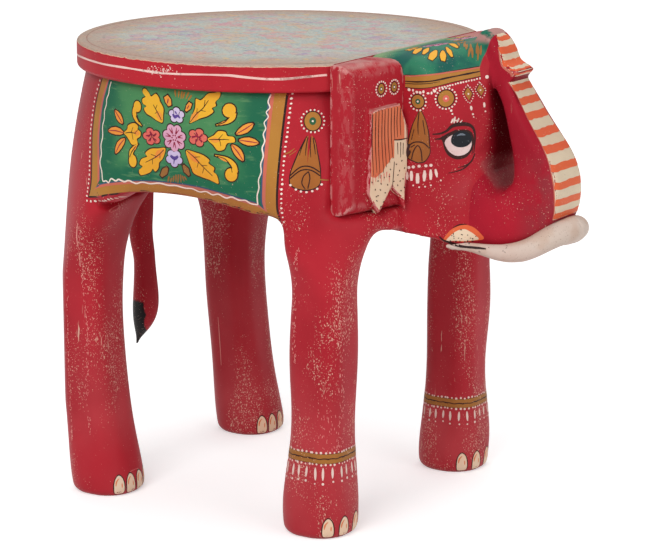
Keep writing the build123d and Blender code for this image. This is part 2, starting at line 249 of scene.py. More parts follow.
# Beside the head, the cut leans outwards, so that it stays clear of the cheeks.
lean = Vector((0.3, 1, 0)).normalized()
skins = {}
for side, hand in SIDES:
    skins["leg_front_" + hand] = cut_out(
        body, "carved_leg_front_" + hand, in_front(SIDE_FRONT), wide_of(side, HALF),
        ((HEAD_BACK, side * HALF, 0), (lean.x, -side * lean.y, 0)),
    )
    skins["leg_rear_" + hand] = cut_out(
        body, "carved_leg_rear_" + hand, behind(SIDE_BACK), wide_of(side, HALF)
    )
    skins["side_board_" + hand] = cut_out(
        body, "carved_side_board_" + hand, in_front(SIDE_BACK), behind(SIDE_FRONT), wide_of(side, HALF)
    )
skins["rump_board"] = cut_out(
    body, "carved_rump_board", behind(SIDE_BACK), narrow_of(1, HALF), narrow_of(-1, HALF)
)
skins["chest_board"] = cut_out(
    body, "carved_chest_board", in_front(SIDE_FRONT), behind(HEAD_BACK), narrow_of(1, HALF),
    narrow_of(-1, HALF)
)
face = cut_out(
    body, "face_and_trunk", in_front(HEAD_BACK),
    *(((HEAD_BACK, side * HALF, 0), (-lean.x, side * lean.y, 0)) for side in (1, -1)),
)

# %% [markdown]
# The trunk is a carving of its own, glued to the jaw, and its curl rests on the forehead.
# That joint isn't flat, so bisect can't cut it. A wall that follows the joint, drawn as a
# flat face, bent point by point and thickened, splits the two with a Boolean modifier instead.

# %% Part the trunk from the head
joint_line = [
    (168.3, 230), (168.3, 318), (171.4, 327), (178, 333), (178, 398), (171.6, 406), (171, 412), (170.4, 425),
    (166.6, 432.4), (163.6, 436.2), (152, 441.2), (140, 444), (140, 480), (300, 480), (300, 230)
]
bpy.ops.mesh.primitive_circle_add(vertices=len(joint_line), radius=0.1, fill_type="NGON")
wall = bpy.context.object
wall.name = "trunk_room"
for point, (x, z) in zip(wall.data.vertices, joint_line):
    point.co = Vector((x, 0, z)) * MM
add_modifier(wall, "SOLIDIFY", thickness=240 * MM, offset=0)
apply_modifiers(wall)
edit(wall)
bpy.ops.mesh.quads_convert_to_tris()
bpy.ops.mesh.normals_make_consistent(inside=False)
done()
skins["head_block"] = copy_of(face, "carved_head")
skins["trunk"] = copy_of(face, "carved_trunk")
for key, operation in (("head_block", "DIFFERENCE"), ("trunk", "INTERSECT")):
    add_modifier(skins[key], "BOOLEAN", operation=operation, object=wall, solver="EXACT")
    apply_modifiers(skins[key])
    report(skins[key])
remove(wall)
remove(face)

# %% [markdown]
# Ears, tusks and tail are glued on last and keep a joint line that can be seen, so each
# gets a finer skin of its own. The tusks were whittled less evenly than the rest.

# %% Soften ears, tusks and tail
tusk_shape = [
    ((152, 58, 282), 20, (0, 0, -2.5)),
    ((205, 44, 252), 60, (0, 0, 2.0)),
    ((242, 16, 262), 38, (0, 0, 5.0)),
    ((250, 10, 291), 26, (-0.8, 0, -2.5)),
]
ear_points = [((116, 69.6, 299), 11, (0.8, 0, -6.5)), ((116, 38, 303), 9, (0, 0, -2.0))]
for side, hand in SIDES:
    ear = soft_skin("carved_ear_" + hand, ["ear_" + hand], 1.3 * MM, 5)
    tusk = soft_skin("carved_tusk_" + hand, ["tusk_" + hand], 1.5 * MM, 5)
    add_modifier(tusk, "DISPLACE", mid_level=0, strength=0.8 * MM)
    apply_modifiers(tusk)
    nudge_side(tusk, side, tusk_shape)
    nudge_side(ear, side, ear_points)
    skins["ear_" + hand], skins["tusk_" + hand] = ear, tusk
skins["tail"] = soft_skin("carved_tail", ["tail"], 1.1 * MM, 4)
nudge(skins["tail"], (-233, -11, 224), 32, (-3.4, -2.1, 0))
for key, piece in skins.items():
    for vertex in piece.data.vertices:
        vertex.co.z = max(0.0, vertex.co.z)
    smooth_by_angle(piece, 50)
    report(piece)

# %% [markdown]
# Old house paint is never one colour. It has fine chips down to the pale ground coat, thin
# rubbed streaks that run down the grain, and slow changes of tone. Many finishes here need
# all of that, so it is built once as a node group, with the amounts as inputs. Everything
# reads Object coordinates, so it runs on over the glue lines without a step.

# %% Node helpers


def srgb(red, green, blue):
    """A colour as a painter reads it, 0 to 255, turned into the linear values of a shader."""
    parts = []
    for part in (red, green, blue):
        part /= 255
        parts.append(part / 12.92 if part < 0.04045 else ((part + 0.055) / 1.055) ** 2.4)
    return (*parts, 1)


def feed(tree, socket, value):
    if isinstance(value, bpy.types.NodeSocket):
        tree.links.new(value, socket)
    else:
        socket.default_value = value


def calc(tree, operation, first, second=0.0):
    node = tree.nodes.new("ShaderNodeMath")
    node.operation = operation
    feed(tree, node.inputs[0], first)
    feed(tree, node.inputs[1], second)
    return node.outputs[0]


def times(tree, first, second):
    return calc(tree, "MULTIPLY", first, second)


def plus(tree, first, second):
    return calc(tree, "ADD", first, second)


def minus(tree, first, second):
    return calc(tree, "SUBTRACT", first, second)


def rise(tree, value, low, high):
    """A soft mask: 0 at low and 1 at high. Low may be the larger one."""
    node = tree.nodes.new("ShaderNodeMapRange")
    node.interpolation_type = "SMOOTHSTEP"
    flip = not isinstance(low, bpy.types.NodeSocket) and low > high
    feed(tree, node.inputs["Value"], value)
    feed(tree, node.inputs["From Min"], high if flip else low)
    feed(tree, node.inputs["From Max"], low if flip else high)
    node.inputs["To Min"].default_value = 1 if flip else 0
    node.inputs["To Max"].default_value = 0 if flip else 1
    return node.outputs[0]


def mix(tree, mask, first, second):
    node = tree.nodes.new("ShaderNodeMix")
    node.data_type = "RGBA"
    feed(tree, node.inputs[0], mask)
    feed(tree, node.inputs[6], first)
    feed(tree, node.inputs[7], second)
    return node.outputs[2]


def tint(tree, base, colour, mask, most):
    """Lay a colour over the base, at most this much of it where the mask is 1."""
    return mix(tree, times(tree, mask, most), base, colour)

# %% [markdown]
# Patterns come from noise, stretched along the grain, and from what a shader knows of the
# surface: its place, its normal, and how sharp or hollow it is there.

# %% Pattern helpers


def noise(tree, vector, scale, detail=2.0, roughness=0.5):
    node = tree.nodes.new("ShaderNodeTexNoise")
    node.inputs["Scale"].default_value = scale
    node.inputs["Detail"].default_value = detail
    node.inputs["Roughness"].default_value = roughness
    tree.links.new(vector, node.inputs["Vector"])
    return node.outputs["Fac"]


def wobble(tree, vector, size, *how):
    """Noise around zero, which shakes the edge of a mask."""
    return times(tree, minus(tree, noise(tree, vector, *how), 0.5), size)


def vector_calc(tree, operation, *values):
    node = tree.nodes.new("ShaderNodeVectorMath")
    node.operation = operation
    for socket, value in zip(node.inputs, values):
        feed(tree, socket, value)
    return node.outputs["Value" if operation == "LENGTH" else "Vector"]


def stretch(tree, vector, x, y, z):
    return vector_calc(tree, "MULTIPLY", vector, (x, y, z))


def split(tree, vector):
    node = tree.nodes.new("ShaderNodeSeparateXYZ")
    tree.links.new(vector, node.inputs[0])
    return node.outputs


def geometry(tree, kind):
    return tree.nodes.new("ShaderNodeNewGeometry").outputs[kind]

# %% [markdown]
# A finish is a material with one Principled shader. A node group takes values in and gives
# values out, and many finishes can share it.

# %% Finishes and groups


def new_finish(name):
    """A new material, with its node tree and its shader."""
    finish = bpy.data.materials.new(name)
    finish.use_nodes = True
    return finish, finish.node_tree, finish.node_tree.nodes["Principled BSDF"]


def recoat(piece, finish):
    """Take off what a piece wears and give it this finish."""
    piece.data.materials.clear()
    piece.data.materials.append(finish)


def new_group(name, inputs, outputs):
    """An empty node group with its sockets, its way in and its way out."""
    group = bpy.data.node_groups.new(name, "ShaderNodeTree")
    for label, kind in inputs:
        group.interface.new_socket(label, in_out="INPUT", socket_type=kind)
    for label in outputs:
        group.interface.new_socket(label, in_out="OUTPUT", socket_type="NodeSocketFloat")
    return group, group.nodes.new("NodeGroupInput").outputs, group.nodes.new("NodeGroupOutput").inputs

# %% [markdown]
# The wear group gives three values. Bare is 1 where the paint is gone: as grit that is
# thickest low down, as flakes, or as streaks along the grain. Tone drifts slowly from one
# shade of a colour to the next. Height raises the brush marks and sinks the chips.

# %% Wear group
wear, way_in, way_out = new_group(
    "worn_paint",
    [("Vector", "NodeSocketVector"), ("Chips", "NodeSocketFloat"), ("Streaks", "NodeSocketFloat")],
    ["Bare", "Tone", "Height"],
)
here = way_in["Vector"]
patch = rise(wear, noise(wear, stretch(wear, here, 24, 24, 11), 1, 3), 0.38, 0.6)
low_down = rise(wear, split(wear, here)[2], 0.34, 0.22)
chance = times(wear, plus(wear, patch, 0.12), plus(wear, times(wear, low_down, 0.5), 0.5))
chance = times(wear, chance, way_in["Chips"])
grit = noise(wear, stretch(wear, here, 860, 860, 560), 1, 2, 0.6)
grit_edge = minus(wear, 0.725, times(wear, chance, 0.40))
specks = times(wear, rise(wear, minus(wear, grit, grit_edge), 0.0, 0.07), 0.75)
flake_edge = minus(wear, 0.765, times(wear, chance, 0.27))
flake = calc(wear, "GREATER_THAN", noise(wear, stretch(wear, here, 400, 400, 250), 1, 4, 0.7), flake_edge)
rubbed = rise(wear, noise(wear, stretch(wear, here, 300, 300, 30), 1, 3, 0.6), 0.66, 0.70)
where_rubbed = rise(wear, noise(wear, here, 11, 2), 0.54, 0.68)
streak = times(wear, times(wear, rubbed, where_rubbed), way_in["Streaks"])
bare = calc(wear, "MAXIMUM", calc(wear, "MAXIMUM", specks, flake), streak)
wear.links.new(bare, way_out["Bare"])
wear.links.new(noise(wear, here, 7, 5, 0.55), way_out["Tone"])
grain = noise(wear, stretch(wear, here, 520, 520, 120), 1, 2)
wear.links.new(minus(wear, times(wear, grain, 0.5), bare), way_out["Height"])
print("wear group:", len(wear.nodes), "nodes")

# %% [markdown]
# One function turns two tones of a colour into a finished paint: the tones drift into each
# other, chips show the ground coat, and the chips are also dents and less glossy.

# %% Paints
GROUND_COAT = srgb(226, 190, 168)
CRIMSON, DEEP_CRIMSON = srgb(178, 33, 46), srgb(160, 24, 37)
SHEEN, DULLED_SHEEN = 0.17, 0.04  # how much old paint mirrors, and the trunk's, dulled by hands


def paint(name, first, second, chips=0.3, streaks=0.0, gloss=0.46, bare=GROUND_COAT, colour=None):
    """A worn brush paint. colour(tree, place, tone) may give it a pattern of its own."""
    finish, tree, shader = new_finish(name)
    shader.inputs["Specular IOR Level"].default_value = SHEEN
    place = tree.nodes.new("ShaderNodeTexCoord").outputs["Object"]
    worn = tree.nodes.new("ShaderNodeGroup")
    worn.node_tree = wear
    tree.links.new(place, worn.inputs["Vector"])
    worn.inputs["Chips"].default_value = chips
    worn.inputs["Streaks"].default_value = streaks
    tone = rise(tree, worn.outputs["Tone"], 0.36, 0.64)
    base = mix(tree, tone, first, second)
    if colour:
        base = colour(tree, place, base)
    tree.links.new(mix(tree, worn.outputs["Bare"], base, bare), shader.inputs["Base Color"])
    dull = plus(tree, gloss, times(tree, worn.outputs["Bare"], 0.3))
    tree.links.new(dull, shader.inputs["Roughness"])
    bump = tree.nodes.new("ShaderNodeBump")
    bump.inputs["Strength"].default_value = 0.35
    bump.inputs["Distance"].default_value = 0.25 * MM
    tree.links.new(worn.outputs["Height"], bump.inputs["Height"])
    tree.links.new(bump.outputs[0], shader.inputs["Normal"])
    return finish

# %% [markdown]
# The stool is crimson all over. Corners that hands and knees rub are paler, and hollows
# are painted darker, as the shade that falls in them. Blender's Pointiness tells the two
# apart on these even skins. The lower legs are sun-faded, so height moves the red towards pink.

# %% Crimson for the carved pieces


def rubbed_red(tree, place, base):
    shape = geometry(tree, "Pointiness")
    ragged = wobble(tree, place, 0.06, 60, 4)
    edge = rise(tree, plus(tree, shape, ragged), 0.535, 0.58)
    # Painted shade: hollows, where Pointiness is low, are darkened towards a deep red.
    hollow = rise(tree, shape, 0.475, 0.44)
    height = split(tree, place)[2]
    low = rise(tree, height, 0.24, 0.02)
    faded = times(tree, low, rise(tree, noise(tree, place, 9, 3), 0.35, 0.75))
    base = tint(tree, base, srgb(204, 84, 88), faded, 0.5)
    base = tint(tree, base, srgb(222, 132, 126), edge, 0.45)
    return tint(tree, base, srgb(70, 10, 16), hollow, 0.5)


crimson = paint("crimson", CRIMSON, DEEP_CRIMSON, chips=0.34, streaks=0.8, colour=rubbed_red)
print("made:", crimson.name)

# %% [markdown]
# Head and trunk share a paint with two more parts. The slot between them is painted dark red
# above, as the shade that falls in it, and dusty below, where the brush hardly reached. Behind the hem lies
# the cap's green.
# Both are masks made from the place, so the two pieces agree where they meet.

# %% Paint for head and trunk
CAP_LINE = 0.4098  # height of the cap's lower edge, before its slopes to front and side


def inside_gap(tree, place):
    """1 in the slot between trunk and forehead, 0 elsewhere."""
    axes = split(tree, place)
    wavy = wobble(tree, place, 0.012, 30, 3)
    side = plus(tree, calc(tree, "ABSOLUTE", axes[1]), wavy)
    side = minus(tree, side, times(tree, rise(tree, axes[2], 0.365, 0.34), 0.007))
    facing = split(tree, geometry(tree, "Normal"))[0]
    inside = times(tree, rise(tree, side, 0.026, 0.018), rise(tree, calc(tree, "ABSOLUTE", facing), 0.6, 0.8))
    inside = times(tree, inside, times(
        tree, rise(tree, axes[0], 0.128, 0.14), rise(tree, axes[0], 0.205, 0.195)
    ))
    return times(tree, inside, rise(tree, axes[2], 0.425, 0.405))


def slot_shade_and_dust(tree, place, base):
    """The slot: dark red above, which is painted shade, and dusty wood below, where the brush hardly reached.
    """
    height = split(tree, place)[2]
    dusty = mix(
        tree, rise(tree, noise(tree, place, 260, 5, 0.7), 0.5, 0.62), srgb(150, 62, 66), srgb(156, 84, 82)
    )
    # Painted shade: the dark red in the upper slot stands for the shade in it; the dusty colour below is real
    # wood.
    wood = mix(tree, rise(tree, height, 0.333, 0.346), dusty, srgb(112, 14, 24))
    return mix(tree, inside_gap(tree, place), base, wood)


def cap_and_red(tree, place, base):
    """Crimson below the cap's hem and in front of its end, the cap's green behind."""
    base = slot_shade_and_dust(tree, place, rubbed_red(tree, place, base))
    axes = split(tree, place)
    along = minus(tree, times(tree, axes[0], 0.0866), times(tree, calc(tree, "ABSOLUTE", axes[1]), 0.05))
    over = minus(tree, axes[2], along)
    cloudy = noise(tree, place, 38, 4)
    green_tone = mix(tree, rise(tree, cloudy, 0.4, 0.62), srgb(44, 118, 88), srgb(26, 88, 78))
    pale_back = rise(tree, axes[0], 0.1, 0.08)
    green_tone = tint(tree, green_tone, srgb(150, 176, 120), pale_back, 0.6)
    worn = times(tree, rise(tree, axes[2], 0.440, 0.446), rise(tree, noise(tree, place, 90, 4), 0.36, 0.5))
    green_tone = mix(tree, worn, green_tone, srgb(178, 132, 126))
    leaning = times(tree, calc(tree, "MAXIMUM", minus(tree, axes[2], 0.43), 0), 0.28)
    behind = rise(tree, minus(tree, axes[0], leaning), 0.1652, 0.1642)
    on_cap = times(tree, calc(tree, "GREATER_THAN", over, CAP_LINE), behind)
    return mix(tree, on_cap, base, green_tone)


def hazy_trunk(tree, place, base):
    """The trunk's sides are rubbed dull towards its foot."""
    base = cap_and_red(tree, place, base)
    axes = split(tree, place)
    dull = times(tree, rise(tree, axes[0], 0.200, 0.232), rise(tree, axes[2], 0.372, 0.322))
    dull = times(tree, dull, rise(tree, noise(tree, place, 46, 5, 0.65), 0.3, 0.6))
    return tint(tree, base, srgb(138, 56, 62), dull, 0.7)


head_paint = paint("head_crimson_and_cap", CRIMSON, DEEP_CRIMSON, chips=0.34, streaks=0.5, colour=cap_and_red)
trunk_paint = paint(
    "trunk_crimson", srgb(172, 32, 48), srgb(150, 26, 42), chips=0.3, streaks=0.5, gloss=0.4,
    colour=hazy_trunk
)
trunk_paint.node_tree.nodes["Principled BSDF"].inputs["Specular IOR Level"].default_value = DULLED_SHEEN
# Bare wood doesn't shine, so the head's gloss ends where the slot begins.
tree = head_paint.node_tree
place = next(node for node in tree.nodes if node.type == "TEX_COORD").outputs["Object"]
gloss = times(tree, minus(tree, 1, inside_gap(tree, place)), SHEEN)
tree.links.new(gloss, tree.nodes["Principled BSDF"].inputs["Specular IOR Level"])
print("made:", head_paint.name, trunk_paint.name)

# %% [markdown]
# Tusks, tail and ears are worn in ways of their own: ivory goes grey where it is held, the
# tuft has one black brush mark, and the ears' corners are the first to go bare. Each is a
# function that changes the base tone, so they all keep the same chips and gloss.

# %% Paints for tusks, tail and ears


def tusk_ivory(tree, place, base):
    """Ivory white, greyed where it is handled, with a few black specks."""
    axes = split(tree, place)
    handled = rise(tree, noise(tree, place, 42, 4), 0.44, 0.62)
    base = tint(tree, base, srgb(196, 168, 150), handled, 0.75)
    under = rise(tree, axes[2], 0.275, 0.25)
    base = tint(tree, base, srgb(196, 150, 136), under, 0.35)
    specks = calc(tree, "GREATER_THAN", noise(tree, place, 260, 3, 0.7), 0.675)
    return tint(tree, base, srgb(96, 74, 70), specks, 0.75)


def tail_and_tuft(tree, place, base):
    """The tail: crimson, with a black brush mark down one side of its tuft."""
    base = rubbed_red(tree, place, base)
    axes = split(tree, place)
    shaky = wobble(tree, place, 0.014, 60, 3)
    height = plus(tree, axes[2], shaky)
    sideways = plus(tree, times(tree, plus(tree, axes[0], 0.226), 0.85), times(tree, axes[1], 0.53))
    slant = plus(tree, plus(tree, sideways, times(tree, minus(tree, axes[2], 0.13), 0.12)), shaky)
    black = times(tree, rise(tree, height, 0.156, 0.152), rise(tree, slant, 0.001, -0.001))
    return mix(tree, black, base, srgb(24, 19, 20))


def rubbed_edges(tree, place, base):
    """The ears: their corners are the most handled, and are worn to pale wood."""
    base = rubbed_red(tree, place, base)
    shape = geometry(tree, "Pointiness")
    up = split(tree, geometry(tree, "Normal"))[2]
    ragged = noise(tree, stretch(tree, place, 210, 210, 90), 1, 4, 0.7)
    corner = times(tree, rise(tree, shape, 0.500, 0.522), rise(tree, ragged, 0.46, 0.54))
    base = tint(tree, base, srgb(216, 150, 146), corner, 0.6)
    faded_top = times(tree, rise(tree, up, 0.55, 0.85), rise(tree, noise(tree, place, 50, 4), 0.3, 0.6))
    return tint(tree, base, srgb(186, 132, 126), faded_top, 0.75)


ivory = paint(
    "tusk_ivory", srgb(212, 194, 182), srgb(200, 180, 166), chips=0.3, gloss=0.5, bare=srgb(164, 132, 118),
    colour=tusk_ivory
)
tail_paint = paint("tail_crimson", CRIMSON, DEEP_CRIMSON, chips=0.16, streaks=1.0, colour=tail_and_tuft)
ear_paint = paint("ear_crimson", CRIMSON, DEEP_CRIMSON, chips=0.36, streaks=0.6, colour=rubbed_edges)
finish_of = {"head": head_paint, "trunk": trunk_paint, "tail": tail_paint, "tusk": ivory, "ear": ear_paint}
for key, piece in skins.items():
    recoat(piece, finish_of.get(key.split("_")[0], crimson))
    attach(piece, "root")
    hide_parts(key)
print("painted:", len(skins), "carved pieces")

# %% [markdown]
# The pins are plain turned beech, swallowed by the glued joints and never painted. They
# keep their simple shapes, with a bare wood that shows its rings and its long fibres.

# %% Bare wood for the dowels
bare_wood, tree, shader = new_finish("bare_beech")
place = tree.nodes.new("ShaderNodeTexCoord").outputs["Object"]
fibres = noise(tree, stretch(tree, place, 900, 900, 60), 1, 4, 0.6)
colour = mix(tree, rise(tree, fibres, 0.35, 0.65), srgb(206, 168, 122), srgb(178, 136, 92))
colour = mix(tree, rise(tree, noise(tree, place, 500, 3), 0.6, 0.7), colour, srgb(150, 108, 70))
tree.links.new(colour, shader.inputs["Base Color"])
shader.inputs["Roughness"].default_value = 0.7
for key, piece in nodes.items():
    if "dowel" in key:
        recoat(piece, bare_wood)
print("dowels:", sum("dowel" in key for key in nodes))

# %% [markdown]
# The seat's top was painted with flowers on pale green. Use has rubbed them into a mottle of
# greys, pinks and lilacs, browner at the rim, with dark nicks. The rim below it is crimson.
# Distance from the seat's middle sets the brown, and Voronoi cells give the rubbed flowers.

# %% Seat finish
SEAT_X, SEAT_RADIUS = -65.3, 190.5  # the round seat's middle and its radius, in mm
# Each cell of rubbed paint draws a lot: above each limit it gets the next tint.
RUBBED_TINTS = (
    (0.52, srgb(206, 172, 150)), (0.64, srgb(204, 152, 156)), (0.76, srgb(172, 150, 180)),
    (0.86, srgb(214, 186, 128)), (0.93, srgb(150, 172, 190)),
)


def seat_ground(tree, place):
    """The worn painting on the seat's top."""
    flat = stretch(tree, vector_calc(tree, "ADD", place, (-SEAT_X * MM, 0, 0)), 1, 1, 0)
    reach = plus(tree, vector_calc(tree, "LENGTH", flat), wobble(tree, place, 0.06, 22, 4))
    jitter = tree.nodes.new("ShaderNodeTexNoise")
    jitter.inputs["Scale"].default_value = 130
    tree.links.new(place, jitter.inputs["Vector"])
    cells = tree.nodes.new("ShaderNodeTexVoronoi")
    cells.inputs["Scale"].default_value = 85
    shaken = vector_calc(tree, "MULTIPLY_ADD", jitter.outputs["Color"], (0.012, 0.012, 0), flat)
    tree.links.new(shaken, cells.inputs["Vector"])
    lot = tree.nodes.new("ShaderNodeSeparateColor")
    tree.links.new(cells.outputs["Color"], lot.inputs[0])
    colour = mix(
        tree, rise(tree, noise(tree, place, 70, 4), 0.4, 0.6), srgb(182, 190, 180), srgb(168, 184, 182)
    )
    for low, pigment in RUBBED_TINTS:
        colour = tint(tree, colour, pigment, rise(tree, lot.outputs[0], low, low + 0.01), 0.5)
    colour = tint(
        tree, colour, srgb(192, 180, 168), rise(tree, noise(tree, place, 240, 5, 0.7), 0.42, 0.6), 0.55
    )
    brown = rise(tree, reach, 0.125, 0.182)
    colour = tint(tree, colour, srgb(178, 146, 126), brown, 0.8)
    nick = calc(tree, "GREATER_THAN", noise(tree, stretch(tree, place, 170, 300, 300), 1, 4, 0.75), 0.60)
    grime = rise(tree, noise(tree, stretch(tree, place, 260, 420, 400), 1, 3, 0.7), 0.44, 0.64)
    colour = tint(tree, colour, srgb(120, 104, 98), grime, 0.32)
    return tint(tree, colour, srgb(84, 74, 78), nick, 0.5)


def seat_colours(tree, place, base):
    """Crimson at the side, a pale edge, and the worn painting on top."""
    up = split(tree, geometry(tree, "Normal"))[2]
    ragged = plus(tree, up, wobble(tree, place, 0.9, 110, 5, 0.7))
    pale = rise(tree, ragged, 0.42, 0.46)
    top = rise(tree, ragged, 0.56, 0.62)
    side = mix(tree, pale, base, srgb(214, 176, 150))
    return mix(tree, top, side, seat_ground(tree, place))


seat_paint = paint(
    "seat_paint", srgb(184, 34, 46), srgb(166, 26, 38), chips=0.14, streaks=0, gloss=0.55, colour=seat_colours
)
board = nodes["seat_board"]
recoat(board, seat_paint)
print("seat board finished:", seat_paint.name)

# %% [markdown]
# The ornament is brushwork: thick paint in small strokes, one colour over another, with a
# black under-stroke that shows as an outline. Shader patterns would do for a few of them,
# but a hand draws each stroke where it wants it. So each stroke is a thin sheet of mesh,
# drawn flat in millimetres, dropped onto the skin by rays, and given a thickness with a
# Solidify modifier. A Shrinkwrap modifier would leave the points that miss hanging in the
# air. Strokes that lie on others get a higher level.

# %% Filled outlines


def smooth_line(points, closed=False, gap=1.6):
    """A soft curve through the points, as even short steps (Catmull-Rom)."""
    count = len(points)
    spans = count if closed else count - 1
    line = []
    for i in range(spans):
        if closed:
            a, b, c, d = (points[(i + k - 1) % count] for k in range(4))
        else:
            a, b, c, d = (points[min(count - 1, max(0, i + k - 1))] for k in range(4))
        steps = max(1, round(math.dist(b, c) / gap))
        for step in range(steps):
            t = step / steps
            line.append(tuple(
                0.5 * (
                    2 * q + (r - p) * t + (2 * p - 5 * q + 4 * r - s) * t * t + (3 * q - p - 3 * r + s) * t**3
                ) for p,
                q, r, s in zip(a, b, c, d)
            ))
    if not closed:
        line.append(tuple(points[-1]))
    return line


def filled(outline, grow=0.0, rings=3):
    """A filled outline: rings that shrink towards its middle, so that it can follow a curve."""
    count = len(outline)
    middle = (sum(p[0] for p in outline) / count, sum(p[1] for p in outline) / count)
    points = []
    for ring in range(rings):
        share = 1 - ring / rings
        for x, y in outline:
            dx, dy = x - middle[0], y - middle[1]
            reach = math.hypot(dx, dy) or 1
            stretch_by = share * (1 + grow / reach)
            points.append((middle[0] + dx * stretch_by, middle[1] + dy * stretch_by))
    points.append(middle)
    faces = []
    for ring in range(rings):
        for i in range(count):
            j = (i + 1) % count
            a, b = ring * count + i, ring * count + j
            if ring < rings - 1:
                faces.append((a, b, b + count, a + count))
            else:
                faces.append((a, b, len(points) - 1))
    return points, faces


def blob(points, gap=1.6):
    """A filled shape with a soft outline through the points."""
    return lambda grow=0.0: filled(smooth_line(points, True, gap), grow)


def oval(x, y, rx, ry=None, count=14):
    ry = ry or rx

    def shape(grow=0.0):
        around = [math.tau * i / count for i in range(count)]
        outline = [(x + (rx + grow) * math.cos(a), y + (ry + grow) * math.sin(a)) for a in around]
        return filled(outline, 0.0, 1 if max(rx, ry) < 2 else 2)

    return shape


def blossom(x, y, rx, ry, petals, depth=0.3, turn=0.0):
    """A flower head with round petals."""

    def shape(grow=0.0):
        outline = []
        for i in range(petals * 8):
            a = math.tau * i / (petals * 8)
            swell = 1 - depth + depth * abs(math.cos(petals * (a - math.radians(turn)) / 2)) ** 0.7
            outline.append((x + (rx * swell + grow) * math.cos(a), y + (ry * swell + grow) * math.sin(a)))
        return filled(outline)

    return shape

# %% [markdown]
# A stroke is a ribbon along a soft line, and swells and thins as a loaded brush does. Cloth
# and trunk need larger areas that end in four drawn lines, so a patch fills them with a
# grid that runs evenly from side to side.

# %% Strokes and patches


def stroke(points, *widths, columns=2, gap=1.6):
    """A brush stroke along a line, from one half width to the next."""

    def shape(grow=0.0):
        line = smooth_line(points, gap=gap)
        last = len(line) - 1
        if grow:
            for end, near in ((0, 1), (last, last - 1)):
                dx, dy = line[end][0] - line[near][0], line[end][1] - line[near][1]
                reach = math.hypot(dx, dy) or 1
                line[end] = (line[end][0] + dx / reach * grow, line[end][1] + dy / reach * grow)
        out, faces = [], []
        for i, (x, y) in enumerate(line):
            before, after = line[max(0, i - 1)], line[min(last, i + 1)]
            dx, dy = after[0] - before[0], after[1] - before[1]
            reach = math.hypot(dx, dy) or 1
            at = i / last * (len(widths) - 1)
            k = min(int(at), len(widths) - 2) if len(widths) > 1 else 0
            half = widths[k] + (widths[min(k + 1, len(widths) - 1)] - widths[k]) * (at - k) + grow
            for column in range(columns + 1):
                side = (2 * column / columns - 1) * half
                out.append((x - dy / reach * side, y + dx / reach * side))
        for i in range(last):
            for column in range(columns):
                a = i * (columns + 1) + column
                faces.append((a, a + 1, a + columns + 2, a + columns + 1))
        return out, faces

    return shape


def strokes(*rows):
    """Several strokes: each row is a line of points, and then its half widths."""
    return [stroke(points, *widths) for points, *widths in rows]


def patch_between(left, right, bottom, top, across=2.6):
    """A cloth-like patch between four lines (a Coons patch)."""

    def along(line, share):
        lengths = [0.0]
        for a, b in zip(line, line[1:]):
            lengths.append(lengths[-1] + math.dist(a, b))
        want = share * lengths[-1]
        for i in range(len(line) - 1):
            if want <= lengths[i + 1] + 1e-9:
                t = (want - lengths[i]) / max(1e-9, lengths[i + 1] - lengths[i])
                return tuple(p + (q - p) * t for p, q in zip(line[i], line[i + 1]))
        return line[-1]

    def shape(grow=0.0):
        wide = max(2, round(math.dist(bottom[0], bottom[-1]) / across))
        tall = max(2, round(math.dist(left[0], left[-1]) / across))
        out, faces = [], []
        for j in range(tall + 1):
            t = j / tall
            for i in range(wide + 1):
                s = i / wide
                b, u, l, r = along(bottom, s), along(top, s), along(left, t), along(right, t)
                out.append(tuple(
                    (1 - t) * b[k] + t * u[k] + (1 - s) * l[k] + s * r[k]
                    - (1 - s) * (1 - t) * bottom[0][k] - s * (1 - t) * bottom[-1][k]
                    - (1 - s) * t * top[0][k] - s * t * top[-1][k]
                    for k in (0, 1)
                ))
        for j in range(tall):
            for i in range(wide):
                a = j * (wide + 1) + i
                faces.append((a, a + 1, a + wide + 2, a + wide + 1))
        return out, faces

    return shape

# %% [markdown]
# Dots fill every edge in this kind of painting. They come as a string along a line, a little
# uneven, or as a ring around a middle.

# %% Strings and rings of dots


def string_of_dots(points, gap, size, seed=1, lift=0.25):
    """Dots along a line, a little uneven as from a loaded brush."""
    luck = random.Random(seed)
    line = smooth_line(points, gap=0.4)
    shapes, walked, last = [], gap, line[0]
    for place in line:
        walked += math.dist(place, last)
        last = place
        if walked >= gap:
            walked = 0
            shapes.append(oval(
                place[0] + luck.uniform(-lift, lift), place[1] + luck.uniform(-lift, lift),
                size * luck.uniform(0.75, 1.2), size * luck.uniform(0.75, 1.2), count=8,
            ))
    return shapes


def around(middle, reach, turn, reach_up=None):
    """The point at this reach and angle from a middle, on a circle or on an ellipse."""
    return middle[0] + reach * math.cos(turn), middle[1] + (reach_up or reach) * math.sin(turn)


def ring_of_dots(x, y, rx, ry, count, size):
    return [oval(*around((x, y), rx, math.tau * i / count, ry), size, count=8) for i in range(count)]

# %% [markdown]
# A chart says from where a group of strokes is seen: its middle, the direction that points
# out of the wood, and how far out the flat drawing starts. The left side of the animal is
# painted by the same charts, mirrored.

# %% Lay the strokes on the wood


class Chart:
    def __init__(self, out, middle=(0, 0, 0), start=300):
        self.out = Vector(out).normalized()
        self.middle, self.start = Vector(middle), start
        upright = abs(self.out.z) > 0.9
        self.across = Vector((1, 0, 0)) if upright else Vector((-self.out.y, self.out.x, 0))
        self.up = self.out.cross(self.across)

    def flat(self, x, y, side):
        spot = self.middle + self.across * x + self.up * y + self.out * self.start
        return Vector((spot.x, spot.y * side, spot.z)) * MM


FLANK = Chart((0, -1, 0))
SHOULDER = Chart((0.6, -0.8, 0))
CHEEK = Chart((0.5, -0.866, 0))
FLAP = Chart((0.966, -0.26, 0))
NOSE = Chart((1, 0, 0))
CROWN = Chart((0, 0, 1), start=500)

CLEARANCE, LEVEL_STEP, THICKNESS = 0.1, 0.11, 0.22  # of the strokes above the wood, in mm
LONGEST_SIDE = 9  # a face that spans more than this has fallen over an edge, in mm

